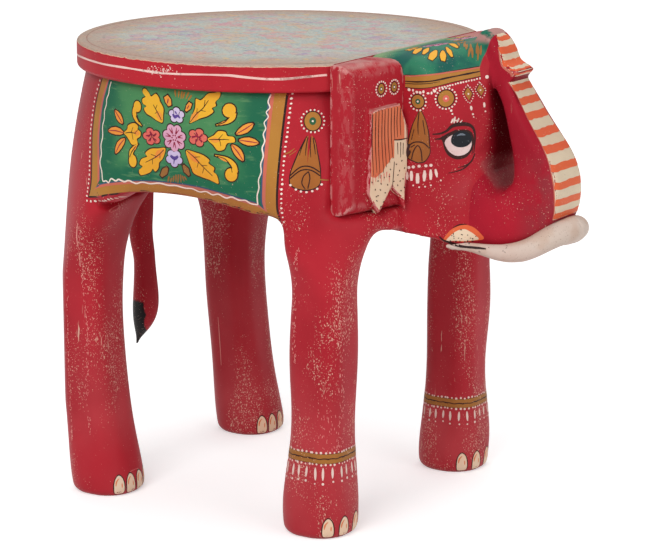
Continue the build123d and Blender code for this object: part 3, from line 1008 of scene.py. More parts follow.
# All that carries paint, as one surface for the rays.
carriers = [copy_of(piece, "carrier") for piece in (*skins.values(), nodes["seat_board"])]
choose(*carriers)
bpy.ops.object.join()
wood = bpy.context.view_layer.objects.active
bpy.context.view_layer.update()
rays_to_wood = BVHTree.FromObject(wood, bpy.context.evaluated_depsgraph_get())
remove(wood)


def turning(corners):
    """Twice a flat face's area, positive if its corners run counter-clockwise."""
    return sum(a[0] * b[1] - b[0] * a[1] for a, b in zip(corners, corners[1:] + corners[:1]))


def lay(name, finish, level, groups, both=True, grow=0.0):
    """Drop flat strokes on the wood; groups are (chart, strokes)."""
    points, faces = [], []
    missed = 0
    for chart, shapes in groups:
        for side in ((1, -1) if both else (1,)):
            away = Vector((chart.out.x, chart.out.y * side, chart.out.z))
            for shape in shapes:
                flat, sheet = shape(grow)
                placed = {}
                for index, (x, y) in enumerate(flat):
                    found = rays_to_wood.ray_cast(chart.flat(x, y, side), -away)
                    if found[0] is not None:
                        placed[index] = len(points)
                        points.append(found[0] + found[1] * (CLEARANCE + LEVEL_STEP * level) * MM)
                for face in sheet:
                    corners = [placed.get(index) for index in face]
                    if None in corners or max(
                        (points[corners[k]] - points[corners[k - 1]]).length for k in range(len(corners))
                    ) > LONGEST_SIDE * MM:
                        missed += 1
                        continue
                    outwards = turning([flat[index] for index in face]) > 0
                    faces.append(corners if outwards == (side > 0) else corners[::-1])
    mesh = bpy.data.meshes.new(name)
    mesh.from_pydata(points, [], faces)
    piece = bpy.data.objects.new(name, mesh)
    bpy.context.scene.collection.objects.link(piece)
    edit(piece)
    bpy.ops.mesh.delete_loose()
    done()
    add_modifier(piece, "SOLIDIFY", thickness=THICKNESS * MM, offset=-1)
    apply_modifiers(piece)
    smooth_by_angle(piece, 45)
    piece.data.materials.append(finish)
    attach(piece, "root")
    report(piece)
    if missed:
        print(name, "faces that miss the wood:", missed)


print("charts and rays are ready")

# %% [markdown]
# The brush colours are ordinary poster-bright paints, all worn a little. Black lines are
# thin, so they are barely chipped.

# %% Brush colours
outline_black = paint("outline_black", srgb(38, 20, 20), srgb(58, 26, 24), chips=0.12, gloss=0.5)
dot_white = paint("dot_white", srgb(240, 226, 212), srgb(226, 196, 186), chips=0.0, gloss=0.5)
leaf_yellow = paint("leaf_yellow", srgb(232, 176, 48), srgb(222, 148, 42), chips=0.2)
leaf_orange = paint("leaf_orange", srgb(232, 152, 60), srgb(224, 122, 56), chips=0.15)
rose_red = paint("rose_red", srgb(222, 110, 92), srgb(204, 84, 84), chips=0.3)
blossom_pink = paint("blossom_pink", srgb(222, 170, 190), srgb(190, 120, 158), chips=0.3)
petal_crimson = paint("petal_crimson", srgb(150, 28, 62), srgb(128, 22, 50), chips=0.1)
bud_violet = paint("bud_violet", srgb(214, 198, 222), srgb(182, 164, 206), chips=0.15)
deep_violet = paint("deep_violet", srgb(98, 72, 150), srgb(74, 56, 120), chips=0.1)
ochre = paint("ochre", srgb(180, 124, 52), srgb(158, 100, 46), chips=0.22)
bell_gold = paint("bell_gold", srgb(172, 104, 44), srgb(150, 86, 40), chips=0.15)
cloth_rose = paint("cloth_rose", srgb(206, 104, 84), srgb(176, 96, 84), chips=0.1)
cloth_slate = paint("cloth_slate", srgb(64, 92, 112), srgb(52, 72, 96), chips=0.15)
brown_leaf = paint("brown_leaf", srgb(172, 120, 52), srgb(140, 92, 50), chips=0.15)
print("paints so far:", len(bpy.data.materials))

# %% [markdown]
# A saddle-cloth is painted over each flank, across the side board and both leg blocks. Its
# green is blue-green near the border and warmer in the middle, where it was laid on last.

# %% Saddle-cloth


def cloth_green(tree, place, base):
    axes = split(tree, place)
    from_middle = calc(tree, "ABSOLUTE", plus(tree, axes[0], 0.060))
    edge = calc(tree, "MAXIMUM", rise(tree, from_middle, 0.045, 0.085), rise(tree, axes[2], 0.345, 0.318))
    cloudy = plus(tree, edge, wobble(tree, place, 0.9, 45, 4))
    base = mix(tree, rise(tree, cloudy, 0.1, 0.95), base, srgb(24, 97, 68))
    brushed = rise(tree, noise(tree, stretch(tree, place, 60, 60, 260), 1, 3), 0.55, 0.75)
    return tint(tree, base, srgb(120, 160, 108), brushed, 0.35)


green = paint("cloth_green", srgb(74, 134, 84), srgb(52, 116, 76), chips=0.16, colour=cloth_green)
CLOTH_TOP = 404  # just under the seat board, in mm

arch = [
    (-165, 294.2), (-152, 296.2), (-141, 299.6), (-132, 301.6), (-124, 303.2), (-112, 305.2), (-98, 306.8),
    (-82, 308), (-66, 308.5), (-50, 308.4), (-34, 307.6), (-18, 305.9), (-4, 303.9), (10, 301.2), (24, 298.2),
    (34, 295.6), (41, 293.6)
]
left_edge = [
    (-165, 294.2), (-161.5, 301), (-159.8, 312), (-160.6, 332), (-162.4, 355), (-160.8, 381), (-156.5, 397),
    (-154.5, 404)
]
right_edge = [(41, 293.6), (39.2, 310), (38.7, 330), (38.8, 360), (38.6, 404)]


def border(inset, grow=0.0):
    """The four sides of the cloth, moved inwards. Only the left side is curved."""
    left = [(x + inset - grow, z) for x, z in smooth_line(left_edge, gap=6)]
    right = [(x - inset + grow, z) for x, z in smooth_line(right_edge, gap=6)]
    lift = 0.86 * inset  # the band is a little narrower below
    bottom = [(x, z + lift - grow) for x, z in arch if left[0][0] < x < right[0][0]]
    first = (left[0][0], arch[0][1] + lift - grow)
    last = (right[0][0], arch[-1][1] + lift - grow)
    bottom = [first] + bottom + [last]
    left[0], right[0] = first, last
    left = [first] + [p for p in left[1:] if p[1] > first[1] + 1]
    right = [last] + [p for p in right[1:] if p[1] > last[1] + 1]
    top = [(left[-1][0], CLOTH_TOP), (right[-1][0], CLOTH_TOP)]
    left[-1], right[-1] = top
    return left, right, bottom, top


for name, finish, inset, grow, level in (
    ("cloth_edge", outline_black, 0, 1.7, 0),
    ("cloth_band", ochre, 0, 0, 1),
    ("cloth_rose_line", cloth_rose, 8.6, 0, 2),
    ("cloth_slate_line", cloth_slate, 11.4, 0, 3),
    ("cloth_field", green, 12.9, 0, 4),
):
    lay(name, finish, level, [(FLANK, [patch_between(*border(inset, grow))])])

# %% [markdown]
# Inside the border runs a wavy white line, and outside it a string of dots. Both were
# painted freehand, so the line's points wander, and each dot has a size and a place that a
# seeded draw shakes a little.

# %% Wavy line and dots
wave = [
    (-138.7, 402), (-140.5, 396), (-140.8, 391), (-143.2, 386), (-142.9, 381), (-145, 375), (-144.6, 368),
    (-146.4, 361), (-145.4, 352), (-147.2, 344), (-146.2, 336), (-147.8, 328), (-145, 320), (-143.5, 311.8),
    (-139, 312.4), (-136, 311), (-132.5, 315.2), (-127, 313.8), (-123.5, 315.6), (-117, 314.2), (-112, 315.8),
    (-104, 313.9), (-97, 315.9), (-88, 315.4), (-78, 316.9), (-68, 316), (-60, 316.6), (-50, 315.4),
    (-42, 315.6), (-34, 313.6), (-27, 314.6), (-20, 312.4), (-14, 313.6), (-6, 311), (0, 312.4), (7, 310.2),
    (13, 310.4), (18, 307.9), (24.2, 307.2)
]
wave_right = [
    (24.2, 307.2), (23.4, 315), (24.6, 322), (23.9, 329), (25.8, 336), (25, 343), (26.6, 350), (25.2, 357),
    (26.8, 363), (25.1, 369), (26.6, 374), (24.9, 379), (27.6, 384), (25.6, 388), (28, 392), (26, 397),
    (27.4, 403)
]
lay("cloth_wave", dot_white, 5, [(FLANK, [
    stroke(wave, 0.6, 0.5, 0.65, 0.55, 0.75, 0.55, 0.7, 0.5, 0.65, 0.5, gap=1.2),
    stroke(wave_right, 0.6, 0.45, 0.6, 0.4, 0.55, gap=1.2),
])])
dots = string_of_dots([(x - 4.6, z) for x, z in left_edge[::-1][:-1]] + [(-168.6, 292)], 3.9, 1.05, 2)
dots += string_of_dots([
    (-168, 289.4), (-160, 289.8), (-150, 291.2), (-141, 293.8), (-133, 296.2), (-124, 298.4), (-116, 300.4)
], 3.9, 1.05, 3)
dots += string_of_dots([(x + 4.4, z) for x, z in right_edge[::-1]] + [(45.4, 290.5), (41, 289)], 3.9, 0.95, 4)
lay("cloth_dots", dot_white, 0, [(FLANK, dots)])

# %% [markdown]
# In the middle of the cloth is a bunch of flowers: four big lobed leaves, roses, buds and
# curled commas. Each shape is listed once as points in millimetres along the flank and
# above the floor, then laid twice: grown by a millimetre in black, and in its colour.

# %% The flower bunch
big_leaves = [
    [
        (-91.2, 401.5), (-86.4, 398.2), (-84, 395.2), (-78.8, 398.2), (-75.2, 394.9), (-74.2, 391.7),
        (-70.6, 385.8), (-71.2, 379.5), (-72.3, 372.9), (-78.5, 374.3), (-83.9, 377.2), (-89.4, 379.5),
        (-92.3, 383.8), (-89.4, 386), (-93.6, 388.1), (-94.2, 392), (-90.2, 394.6), (-93.8, 397.4),
        (-94, 400.1)
    ],
    [
        (-42.4, 375.4), (-39.7, 382.3), (-36.7, 389.2), (-36.2, 397), (-31.9, 396), (-28.6, 398.6),
        (-25.3, 402), (-19.5, 403.2), (-14.3, 403.5), (-14.4, 399.4), (-17.9, 395.3), (-17.1, 392.1),
        (-20.8, 389.7), (-19.1, 387), (-24.2, 382.9), (-31.6, 380.1), (-37.8, 376.9)
    ],
    [
        (-70, 349.6), (-78.2, 348.7), (-86.6, 347.4), (-92.3, 342.8), (-90.4, 340.1), (-96.7, 337.2),
        (-99, 332.4), (-95.9, 330.4), (-100, 326.5), (-98.7, 322.6), (-94.5, 323.1), (-87.5, 326.1),
        (-84.6, 329.5), (-81.9, 327.2), (-78.3, 331), (-77.4, 335.7), (-72.8, 340.7)
    ],
    [
        (-47, 349.9), (-36, 348.9), (-28, 346.9), (-22.5, 343.4), (-23.6, 340.5), (-17.7, 337.1),
        (-18.5, 333.4), (-15, 330.6), (-13.4, 323.4), (-18.6, 324.4), (-23.3, 325.8), (-30.7, 327.3),
        (-39.4, 329.8), (-42.2, 334.7), (-45.1, 341.2)
    ]
]
trefoils = [
    [
        (-116.3, 359.1), (-112.2, 363), (-111.2, 366.5), (-104.2, 369.2), (-99.7, 367.2), (-100, 364.1),
        (-96.8, 361.8), (-97.5, 357.7), (-101.3, 355.1), (-100.6, 351.1), (-106.7, 349.4), (-110.1, 353),
        (-113.4, 356.6)
    ],
    [
        (-24, 362.1), (-17.8, 366.2), (-13.7, 370), (-7.3, 369.6), (-5.5, 366.4), (0.3, 365.6), (1.4, 361.3),
        (-5.2, 359.8), (-7.9, 354.4), (-14, 352.9), (-18.3, 357.2)
    ]
]
yellow_shapes = [blob(points, 1.2) for points in big_leaves + trefoils]
yellow_shapes += [
    oval(-100.3, 384.6, 4.4, 5.0),
    stroke([(-103, 383), (-103.9, 378.4), (-101.6, 372.8), (-95.4, 367.6)], 2.2, 2.2, 1.5, 0.2),
    oval(-5.0, 388.6, 5.8, 6.0),
    stroke([(-0.8, 386.5), (-1.6, 382.4), (-5, 379.2), (-9.5, 377.2), (-16, 375.3)], 2.2, 2.2, 1.6, 0.9, 0.2),
    oval(-106.7, 334.5, 4.3, 5.8),
    stroke([(-108.2, 337.5), (-108, 342.2), (-104.6, 346.8), (-100.2, 350.8)], 2.0, 2.0, 1.4, 0.2),
    oval(-0.8, 332.2, 5.8, 5.9),
    stroke([(3.2, 334.5), (2.2, 339.5), (-1.2, 343.6), (-7, 346.6), (-16.8, 348.4)], 2.2, 2.2, 1.6, 0.9, 0.2)
]
small_leaf_lines = [
    [(-129.3, 377.8), (-123.5, 372.4), (-118.1, 367.2)], [(-137.3, 358.4), (-127.1, 359.6), (-116.9, 359)],
    [(-126.9, 339), (-122, 347.1), (-115.2, 354)], [(2.5, 368.4), (9.9, 373.1), (16.2, 378)],
    [(5.2, 363.2), (13.5, 362.4), (22, 361.2)], [(-1, 358.8), (5.1, 352.2), (9.9, 345.2)],
]
orange_shapes = [stroke(line, 0.3, 2.6, 3.5, 2.8, 0.3) for line in small_leaf_lines]
orange_shapes += [stroke([(-63.4, 388.8), (-65.2, 393), (-67.6, 397)], 1.6, 3.4, 2.2)]
orange_shapes += [stroke([(-46.4, 385.4), (-43.7, 389.2), (-41.6, 393)], 0.6, 2.4, 1.6)]
brown_shapes = strokes(
    ([(-75.6, 323.6), (-72, 327.7), (-68.4, 332)], 1.2, 3.4, 0.8),
    ([(-44.8, 327.4), (-47.8, 331.8), (-51, 336.2)], 0.8, 3.0, 0.8),
)
ROSES = ((-84.4, 359), (-34.4, 362.8))
rose_shapes = [blossom(*ROSES[0], 9.6, 7.6, 5, 0.3, 36), blossom(*ROSES[1], 9.8, 8.0, 5, 0.3, 0)]
bud_shapes = [blossom(-56.4, 380.8, 8.4, 7.0, 5, 0.3, 90), blossom(-60.6, 341.4, 9.0, 7.8, 5, 0.3, 270)]
FLOWER = (-59.7, 360.2)  # the middle of the central flower
flower = blossom(*FLOWER, 12.4, 12.6, 7, 0.26, 12)
bunch = yellow_shapes + orange_shapes + brown_shapes + rose_shapes + bud_shapes + [flower]
lay("bunch_outline", outline_black, 5, [(FLANK, bunch)], grow=1.15)
for name, finish, shapes in (
    ("bunch_yellow", leaf_yellow, yellow_shapes),
    ("bunch_orange", leaf_orange, orange_shapes),
    ("bunch_brown", brown_leaf, brown_shapes),
    ("bunch_roses", rose_red, rose_shapes),
    ("bunch_buds", bud_violet, bud_shapes),
    ("bunch_flower", blossom_pink, [flower]),
):
    lay(name, finish, 6, [(FLANK, shapes)])

# %% [markdown]
# The last and finest strokes: orange shade at the foot of each leaf, ribs, the petals' dark
# folds, and two worn tufts above and below the bunch.

# %% Ribs, folds and tufts
ribs = [
    [(-73, 374.8), (-76.9, 381.3), (-81.6, 388.1)],
    [(-41.8, 376), (-35.4, 383.7), (-29.2, 389.2), (-24.2, 396.5)],
    [(-71.4, 348.3), (-79.9, 341.2), (-92.3, 334.6)],
    [(-46.1, 349.6), (-38.2, 344.2), (-31, 338.1), (-19.6, 329.6)],
    [(-114.8, 359), (-108, 360.4), (-102, 359.8)], [(-22.6, 362), (-14, 362.6), (-6.2, 363.2)],
    [(-98, 370.4), (-101.6, 376.2)], [(-14.6, 375.6), (-8.8, 378), (-5, 381.6)],
    [(-102.6, 348.2), (-107.6, 342.4), (-109.8, 337.6)],
    [(-14.6, 347.8), (-6.8, 345.8), (-1.6, 340.4), (0.2, 334.4)]
]
veins = [
    [(-77.4, 382.2), (-80, 380.2)], [(-79, 385), (-77.2, 388.4)], [(-35, 384.4), (-34.8, 389)],
    [(-31.4, 387.4), (-26.4, 386.6)], [(-28, 390.6), (-27.4, 396.6)], [(-80, 341.2), (-86, 342.6)],
    [(-84.6, 338.6), (-84.6, 333.6)], [(-76, 344.4), (-76.2, 339.6)], [(-38.6, 344.6), (-32.6, 345.6)],
    [(-34.2, 340.6), (-36, 335.4)], [(-28.4, 336), (-30.2, 331)], [(-30.6, 338), (-25, 338.4)],
    [(-107.4, 360.6), (-105.4, 365.2)], [(-106.8, 360.4), (-105.4, 354)], [(-103.6, 360), (-99.8, 363.6)],
    [(-13.6, 362.8), (-9.6, 367.4)], [(-12.4, 362.6), (-11, 356.8)], [(-9, 363.2), (-3.4, 363)]
]
fine = [stroke(line, 0.28, 0.42, 0.24) for line in ribs] + [stroke(line, 0.3, 0.2) for line in veins]
fine += strokes(
    ([(-68.2, 382), (-66.4, 381.4)], 0.2), ([(-59.4, 385), (-59, 379.4)], 0.3, 0.2),
    ([(-53, 384.2), (-54.6, 379)], 0.3, 0.2),
    ([(-88.4, 354.4), (-84.6, 358.8), (-86.4, 362.8)], 0.3, 0.3, 0.2),
    ([(-80, 354), (-83.4, 358.4), (-79.4, 362.6)], 0.3, 0.3, 0.2),
    ([(-37.2, 357.2), (-34.4, 362), (-38, 366.6)], 0.3, 0.3, 0.2),
    ([(-30, 358.8), (-33, 362.6), (-29.2, 366.6)], 0.3, 0.3, 0.2)
)
leaf_feet = strokes(
    ([(-73.2, 375), (-77.6, 383.2)], 1.6, 3.4, 0.4), ([(-41, 377.2), (-33.4, 385.6)], 1.2, 3.4, 0.4),
    ([(-71.8, 348), (-82.4, 339.6)], 1.4, 3.4, 0.4), ([(-45, 348.6), (-33.4, 339.8)], 1.4, 3.4, 0.4),
    ([(-98, 360), (-104.6, 361.4)], 1.0, 2.6, 0.4), ([(-20.6, 361.8), (-12, 362)], 1.4, 2.8, 0.5),
    ([(-101.8, 349), (-106.4, 344)], 0.5, 1.6, 0.3), ([(-12.6, 375.8), (-5.6, 379.6)], 0.6, 1.4, 0.3),
    ([(-13.4, 347.6), (-3.6, 343.4)], 0.5, 1.4, 0.3),
)
folds = []
for i in range(7):
    a = math.tau * i / 7 + 0.21
    for turn, far in ((-0.16, 9.4), (0.16, 9.8)):
        folds.append(stroke([around(FLOWER, 4.0, a), around(FLOWER, far, a + turn)], 0.7, 0.5, 0.15))
folds += ring_of_dots(*FLOWER, 2.4, 2.4, 6, 0.8)
folds += [stroke(line, 0.2, 0.5, 0.2) for line in small_leaf_lines]
folds += strokes(
    ([(-66, 390.6), (-65, 395.2)], 0.3, 0.7, 0.2), ([(-45, 387.6), (-42.8, 391.2)], 0.2, 0.5, 0.2)
)
for middle in ROSES:
    for i in range(5):
        a = math.tau * i / 5 + 0.3
        folds.append(stroke([around(middle, 2.2, a, 1.8), around(middle, 6.6, a + 0.3, 5.2)], 0.6, 0.8, 0.2))
folds += strokes(
    ([(-88, 358), (-86, 360.6), (-81, 360)], 0.3, 0.8, 0.3),
    ([(-40.6, 361.6), (-36, 364), (-30.6, 362)], 0.3, 0.8, 0.3)
)
shade = strokes(
    ([(-60.4, 381.6), (-58.2, 379), (-55.4, 380.6), (-52.6, 378.6)], 0.9, 1.5, 1.3, 0.6),
    ([(-58, 384.4), (-56.4, 382.2)], 0.5, 0.8),
    ([(-64.6, 343.6), (-60.2, 341.4), (-56.2, 343.8)], 1.0, 1.8, 1.0),
    ([(-60.4, 341), (-61.2, 336.4)], 0.7, 0.3)
)
tufts = [
    [(-58.1, 403.1), (-56.7, 397.1)], [(-53.6, 402.9), (-54.2, 396.9)], [(-50.4, 402.6), (-51.5, 395.9)],
    [(-47.8, 402.2), (-49.6, 396)], [(-43.6, 402.5), (-46.4, 396.1)], [(-40.6, 399.9), (-44.4, 394.7)],
    [(-59.3, 326.7), (-59.5, 319.8)], [(-56.5, 327.1), (-57.5, 318.9)], [(-54.4, 327.3), (-54, 319.8)],
    [(-52.4, 326.4), (-50.6, 321.3)], [(-50.4, 325.9), (-47.8, 322.7)], [(-66.9, 324.2), (-68.5, 318.7)],
    [(-64.2, 323.3), (-65.7, 318.4)], [(-61.6, 325.3), (-62.7, 319.4)]
]
for name, finish, level, shapes in (
    ("bunch_ribs", outline_black, 7, fine),
    ("bunch_leaf_feet", leaf_orange, 6.5, leaf_feet),
    ("bunch_folds", petal_crimson, 7, folds),
    ("bunch_bud_shade", deep_violet, 7, shade),
    ("bunch_tufts", brown_leaf, 5.5, [stroke(line, 0.7, 0.9, 0.2) for line in tufts]),
):
    lay(name, finish, level, [(FLANK, shapes)])

# %% [markdown]
# The shoulders carry a gold disc with a bell hanging from it, and the cheeks a smaller
# pair. A bell is one brown-gold shape with a black outline, a hem of two curved lines, a
# loop for the clapper and a few folds.

# %% Discs and bells
# Each disc: chart, middle, half widths, half widths of its ring of dots, number of dots.
disc_spots = [(SHOULDER, -35.4, 380.1, 7.3, 8.0, 10.3, 9.6, 18), (CHEEK, 74.4, 393.6, 5.3, 5.9, 7.2, 8.0, 15)]
flap_discs = [(FLAP, -65.0, 406.5, 3.4, 4.4, 6.4, 6.6, 16), (FLAP, -49.2, 406.6, 3.2, 4.2, 5.8, 6.4, 15)]
second_disc = [(CHEEK, 99.1, 396.1, 7.0, 7.4, 9.4, 9.4, 20)]
MIDDLE_SHARE = 0.42


def laid_discs(spots, *kinds):
    groups = []
    for chart, x, y, rx, ry, dots_x, dots_y, count in spots:
        shapes = []
        if "plate" in kinds:
            shapes.append(oval(x, y, rx, ry, count=24))
        if "middle" in kinds:
            shapes.append(oval(x, y, rx * MIDDLE_SHARE, ry * MIDDLE_SHARE))
        if "dots" in kinds:
            shapes.append(oval(x, y, 0.9))
            shapes += ring_of_dots(x, y, dots_x, dots_y, count, 0.85)
        groups.append((chart, shapes))
    return groups


disc_green = paint("disc_green", srgb(48, 98, 62), srgb(36, 78, 58), chips=0.1)
all_discs = disc_spots + flap_discs + second_disc
lay("disc_outlines", outline_black, 0, laid_discs(all_discs, "plate"), grow=0.9)
lay("disc_plates", ochre, 1, laid_discs(all_discs, "plate"))
lay("disc_middles", disc_green, 2, laid_discs(disc_spots + flap_discs, "middle"))
lay("disc_rose_middle", rose_red, 2, laid_discs(second_disc, "middle"))
lay("disc_dots", dot_white, 3, laid_discs(all_discs, "dots"))

shoulder_bell = [
    (-37.3, 368.6), (-41.6, 365.4), (-46.5, 356.5), (-51.4, 345.4), (-55, 336.7), (-56.3, 329.2),
    (-54.6, 324.9), (-49.8, 322.3), (-42.4, 321.1), (-34.8, 322.4), (-29.9, 326.6), (-29.6, 335.3),
    (-30.2, 342), (-31.9, 352.6), (-33.6, 362.5)
]
cheek_bell = [
    (76.2, 385.8), (73.4, 379.8), (70.4, 372.7), (68.1, 364.2), (66.2, 355), (64.9, 348), (66, 342.4),
    (69.9, 340.3), (75.1, 338.4), (80.3, 339.3), (83.4, 343.1), (85.2, 348.2), (84.3, 356.7), (83.4, 366.5),
    (81.3, 375.7), (78.6, 382.4)
]
bells = [(SHOULDER, [blob(shoulder_bell, 1.4)]), (CHEEK, [blob(cheek_bell, 1.4)])]
lay("bell_outlines", outline_black, 0, bells, grow=1.1)
lay("bells", bell_gold, 1, bells)
bell_lines = [
    (SHOULDER, strokes(
        ([(-56, 333.4), (-48.3, 340), (-42.1, 341.6), (-35.8, 340), (-29.8, 336)], 0.55),
        ([(-56.4, 330.6), (-48.3, 337), (-42.1, 338.6), (-35.9, 337.2), (-29.8, 333)], 0.55),
        ([(-39.8, 336.8), (-44.1, 333), (-45.8, 326.8), (-43, 321.6)], 0.5),
        ([(-39.8, 336.8), (-38.7, 331), (-40.6, 322)], 0.5),
        ([(-42, 364.6), (-45.4, 358), (-47.6, 350.8)], 0.35, 0.45, 0.2),
        ([(-39.9, 366.3), (-41.4, 359), (-42.4, 350.6)], 0.35, 0.45, 0.2),
        ([(-37.3, 366.3), (-38, 358), (-37.6, 349.1)], 0.35, 0.45, 0.2),
        ([(-35.4, 365.6), (-34.2, 358), (-33.6, 351.5)], 0.35, 0.45, 0.2)
    )),
    (CHEEK, strokes(
        ([(65.2, 350.4), (69.1, 355.3), (73.8, 357.2), (79.5, 356.3), (84.8, 351.3)], 0.55),
        ([(69.2, 341), (70.6, 347.9), (74.3, 353.9), (77.3, 349.7), (78.4, 339.4)], 0.5),
        ([(65.6, 346), (67.8, 351), (72, 354.4)], 0.4),
        ([(75.6, 384.2), (74.6, 373.9), (74.9, 364.1)], 0.4, 0.5, 0.2), ([(71.2, 368.3), (68.9, 358.7)], 0.3),
        ([(78.9, 377.1), (80.9, 364)], 0.35)
    ))
]
lay("bell_lines", outline_black, 2, bell_lines)
hem = [
    (-55.8, 325.2), (-51.1, 321.4), (-46.7, 319.6), (-41.8, 319), (-36.7, 319.8), (-32.3, 321.6),
    (-28.4, 325.4)
]
lay("bell_hem_dots", dot_white, 2, [(SHOULDER, [oval(x, y, 1.15, 1.0, count=8) for x, y in hem])])
lay("shoulder_strokes", brown_leaf, 1, [(SHOULDER, strokes(
    ([(-30, 329.7), (-21.9, 328.6)], 0.7, 0.3), ([(-61.3, 351.6), (-55.7, 354), (-51.8, 357)], 0.3, 0.5, 0.2),
    ([(-56.4, 351), (-50.2, 355.2)], 0.3, 0.2),
))])

# %% [markdown]
# Beneath the cheek bell hang a row of dots, a row of long drops and a row of fine dots.
# They are one group, as is everything else that is white on the cheeks and the trunk.

# %% White drops and dots on the face
face_white = [oval(x, y, 1.5, 1.4, count=10) for x, y in (
    (70.7, 334), (75.8, 334.7), (81.8, 334.9), (86.3, 335.3), (66.6, 333.2)
)]
face_white += strokes(
    ([(68.9, 330.1), (69.2, 321)], 0.9, 1.5, 0.9), ([(74.4, 328), (74.6, 318.6)], 1.1, 1.7, 1.3),
    ([(80.8, 330.6), (80.4, 320.6)], 0.8, 1.7, 0.8), ([(86.1, 331.4), (86.3, 322)], 0.7, 1.5, 0.9),
    ([(90.3, 331.7), (91.9, 324.3)], 0.7, 1.4, 0.5), ([(65.2, 329), (65.4, 322)], 0.7, 1.2, 0.7)
)
face_white += [oval(x, y, 0.8, count=8) for x, y in (
    (70.7, 316.7), (76, 315.2), (81.3, 315.8), (86.4, 317.1), (95.3, 321.5)
)]
face_white += string_of_dots([
    (66.4, 403.2), (71, 402.6), (75, 401.6), (79, 403), (84.6, 401.6), (90, 404)
], 3.3, 1.2, 5, 0.5)
face_white += string_of_dots([
    (88, 404.4), (93.7, 406), (101.1, 407.4), (108.5, 409), (117.2, 410.6), (124.7, 411.8), (131.3, 413)
], 2.3, 0.85, 6, 0.15)
face_white += [
    stroke([(121.3, 388.4), (121.9, 384.6)], 0.6, 1.1, 0.6), oval(123.2, 380.8, 0.9, count=8),
    oval(123.9, 378.2, 0.6, count=8), stroke([(133, 391), (133.4, 386.6)], 0.6, 1.1, 0.6),
    oval(134.3, 382.9, 0.8, count=8), oval(135.2, 413.4, 1.6, count=10), oval(103.8, 385.0, 1.1, count=8),
    oval(104.9, 381.9, 0.8, count=8)
]
SHRINK = 0.72  # the coloured diamond inside its dots
diamonds = [
    [(118.1, 407.4), (114, 400.4), (119.9, 391.2), (123.6, 399.6)],
    [(128.4, 409.4), (125, 402.6), (130.9, 395.4), (134.2, 402)]
]
for corners in diamonds:
    face_white += string_of_dots([*corners, corners[0]], 2.0, 0.55, 7, 0.1)
lay("face_white", dot_white, 2, [(CHEEK, face_white)])
inner = [
    [(x * SHRINK + middle[0] * (1 - SHRINK), y * SHRINK + middle[1] * (1 - SHRINK)) for x, y in corners]
    for corners, middle in zip(diamonds, ((118.9, 399.6), (129.6, 402.3)))
]
diamond_shapes = [lambda grow=0.0, c=corners: filled(c, grow, 2) for corners in inner]
lay("diamond_outlines", outline_black, 0, [(CHEEK, diamond_shapes)], grow=0.8)
lay("diamonds", ochre, 1, [(CHEEK, diamond_shapes)])
lay("diamond_middles", dot_white, 2, [(CHEEK, [
    oval(118.9, 399.4, 0.8, count=8), oval(129.6, 402.2, 0.8, count=8)
])])

# %% [markdown]
# The eye is almond-shaped, with a heavy black rim, a brow line and two wrinkles under it.
# The ball sits high and forward, which gives the animal its gentle look.

# %% Eyes
eye_rim = [
    (95, 361.2), (96.6, 356.2), (98.2, 349.9), (101.9, 343.6), (109.3, 340.1), (117.3, 341.6), (122.6, 347.6),
    (124.6, 355.4), (123.4, 362.3), (119.7, 366.2), (111.9, 367.2), (104.8, 365.2), (99.2, 362.4)
]
eye_white_line = [
    (98.4, 356.4), (100.2, 350.6), (104, 346), (109.4, 343.3), (115.9, 344.2), (120.5, 347.8), (122.4, 353.6),
    (121.2, 359.8), (116.4, 363.4), (109, 363.6), (102, 361)
]
ball = [
    (104.1, 355.9), (104.6, 361.2), (107.7, 364.6), (112.6, 365.8), (118.1, 364.9), (121.7, 361.1),
    (121.9, 355.5), (118.2, 352), (112.8, 350.9), (107.7, 352.2)
]
eye_white = paint(
    "eye_white", srgb(236, 222, 216), srgb(214, 178, 176), chips=0.25, gloss=0.35, bare=srgb(170, 90, 90)
)
eye_black = paint(
    "eye_black", srgb(12, 12, 15), srgb(26, 29, 36), chips=0.3, gloss=0.3, bare=srgb(120, 124, 130)
)
lay("eye_rims", outline_black, 0, [(CHEEK, [blob(eye_rim, 1.2)])])
lay("eye_whites", eye_white, 1, [(CHEEK, [blob(eye_white_line, 1.2)])])
lay("eye_balls", eye_black, 2, [(CHEEK, [blob(ball, 1.2)])])
# The glint is a painted highlight: a pale grey-blue stroke where the lamps would shine on the black ball.
lay(
    "eye_glints",
    paint("eye_glint", srgb(150, 160, 172), srgb(96, 104, 116), chips=0.5, bare=srgb(30, 32, 38)), 3,
    [(CHEEK, [stroke([(109, 361.8), (112.6, 363), (116.6, 362.2)], 0.3, 1.1, 0.3)])]
)
lay("brows", outline_black, 1, [(CHEEK, strokes(
    ([
        (87.4, 364.2), (94.1, 364.4), (100.1, 366.7), (104.2, 370.4), (109.2, 372), (115.6, 372.2),
        (121, 370.6), (124.2, 366.6), (125.4, 360), (125, 351.9), (124.4, 345.4)
    ], 0.4, 0.8, 1.0, 1.5, 1.9, 1.7, 1.3, 0.9, 0.7, 0.5, 0.3),
    ([(89.5, 359.5), (95.4, 359.9), (100.6, 363), (108.9, 367)], 0.3, 1.1, 1.0, 0.5),
    ([(125.4, 344.9), (122.6, 338.4), (117.5, 334.6), (110.1, 332.6)], 0.4, 0.7, 0.5, 0.2),
    ([(123.7, 339.6), (118.9, 334.3), (112.3, 330.4), (101.9, 327.9)], 0.3, 0.6, 0.5, 0.2),
    ([(123.4, 350), (122.8, 344)], 0.3, 0.2)
))])
lay("worn_brow", dot_white, 2, [(CHEEK, strokes(
    ([(103.9, 373.6), (105.8, 377.8)], 0.5, 0.9, 0.3), ([(106.4, 373.4), (107.4, 379.4)], 0.4, 0.8, 0.3),
    ([(109, 374), (110.8, 378)], 0.4, 0.9, 0.3), ([(111.8, 373.8), (113.8, 375.8)], 0.5, 0.3),
    ([(105.2, 375.4), (110.4, 376)], 0.3, 0.5),
))])

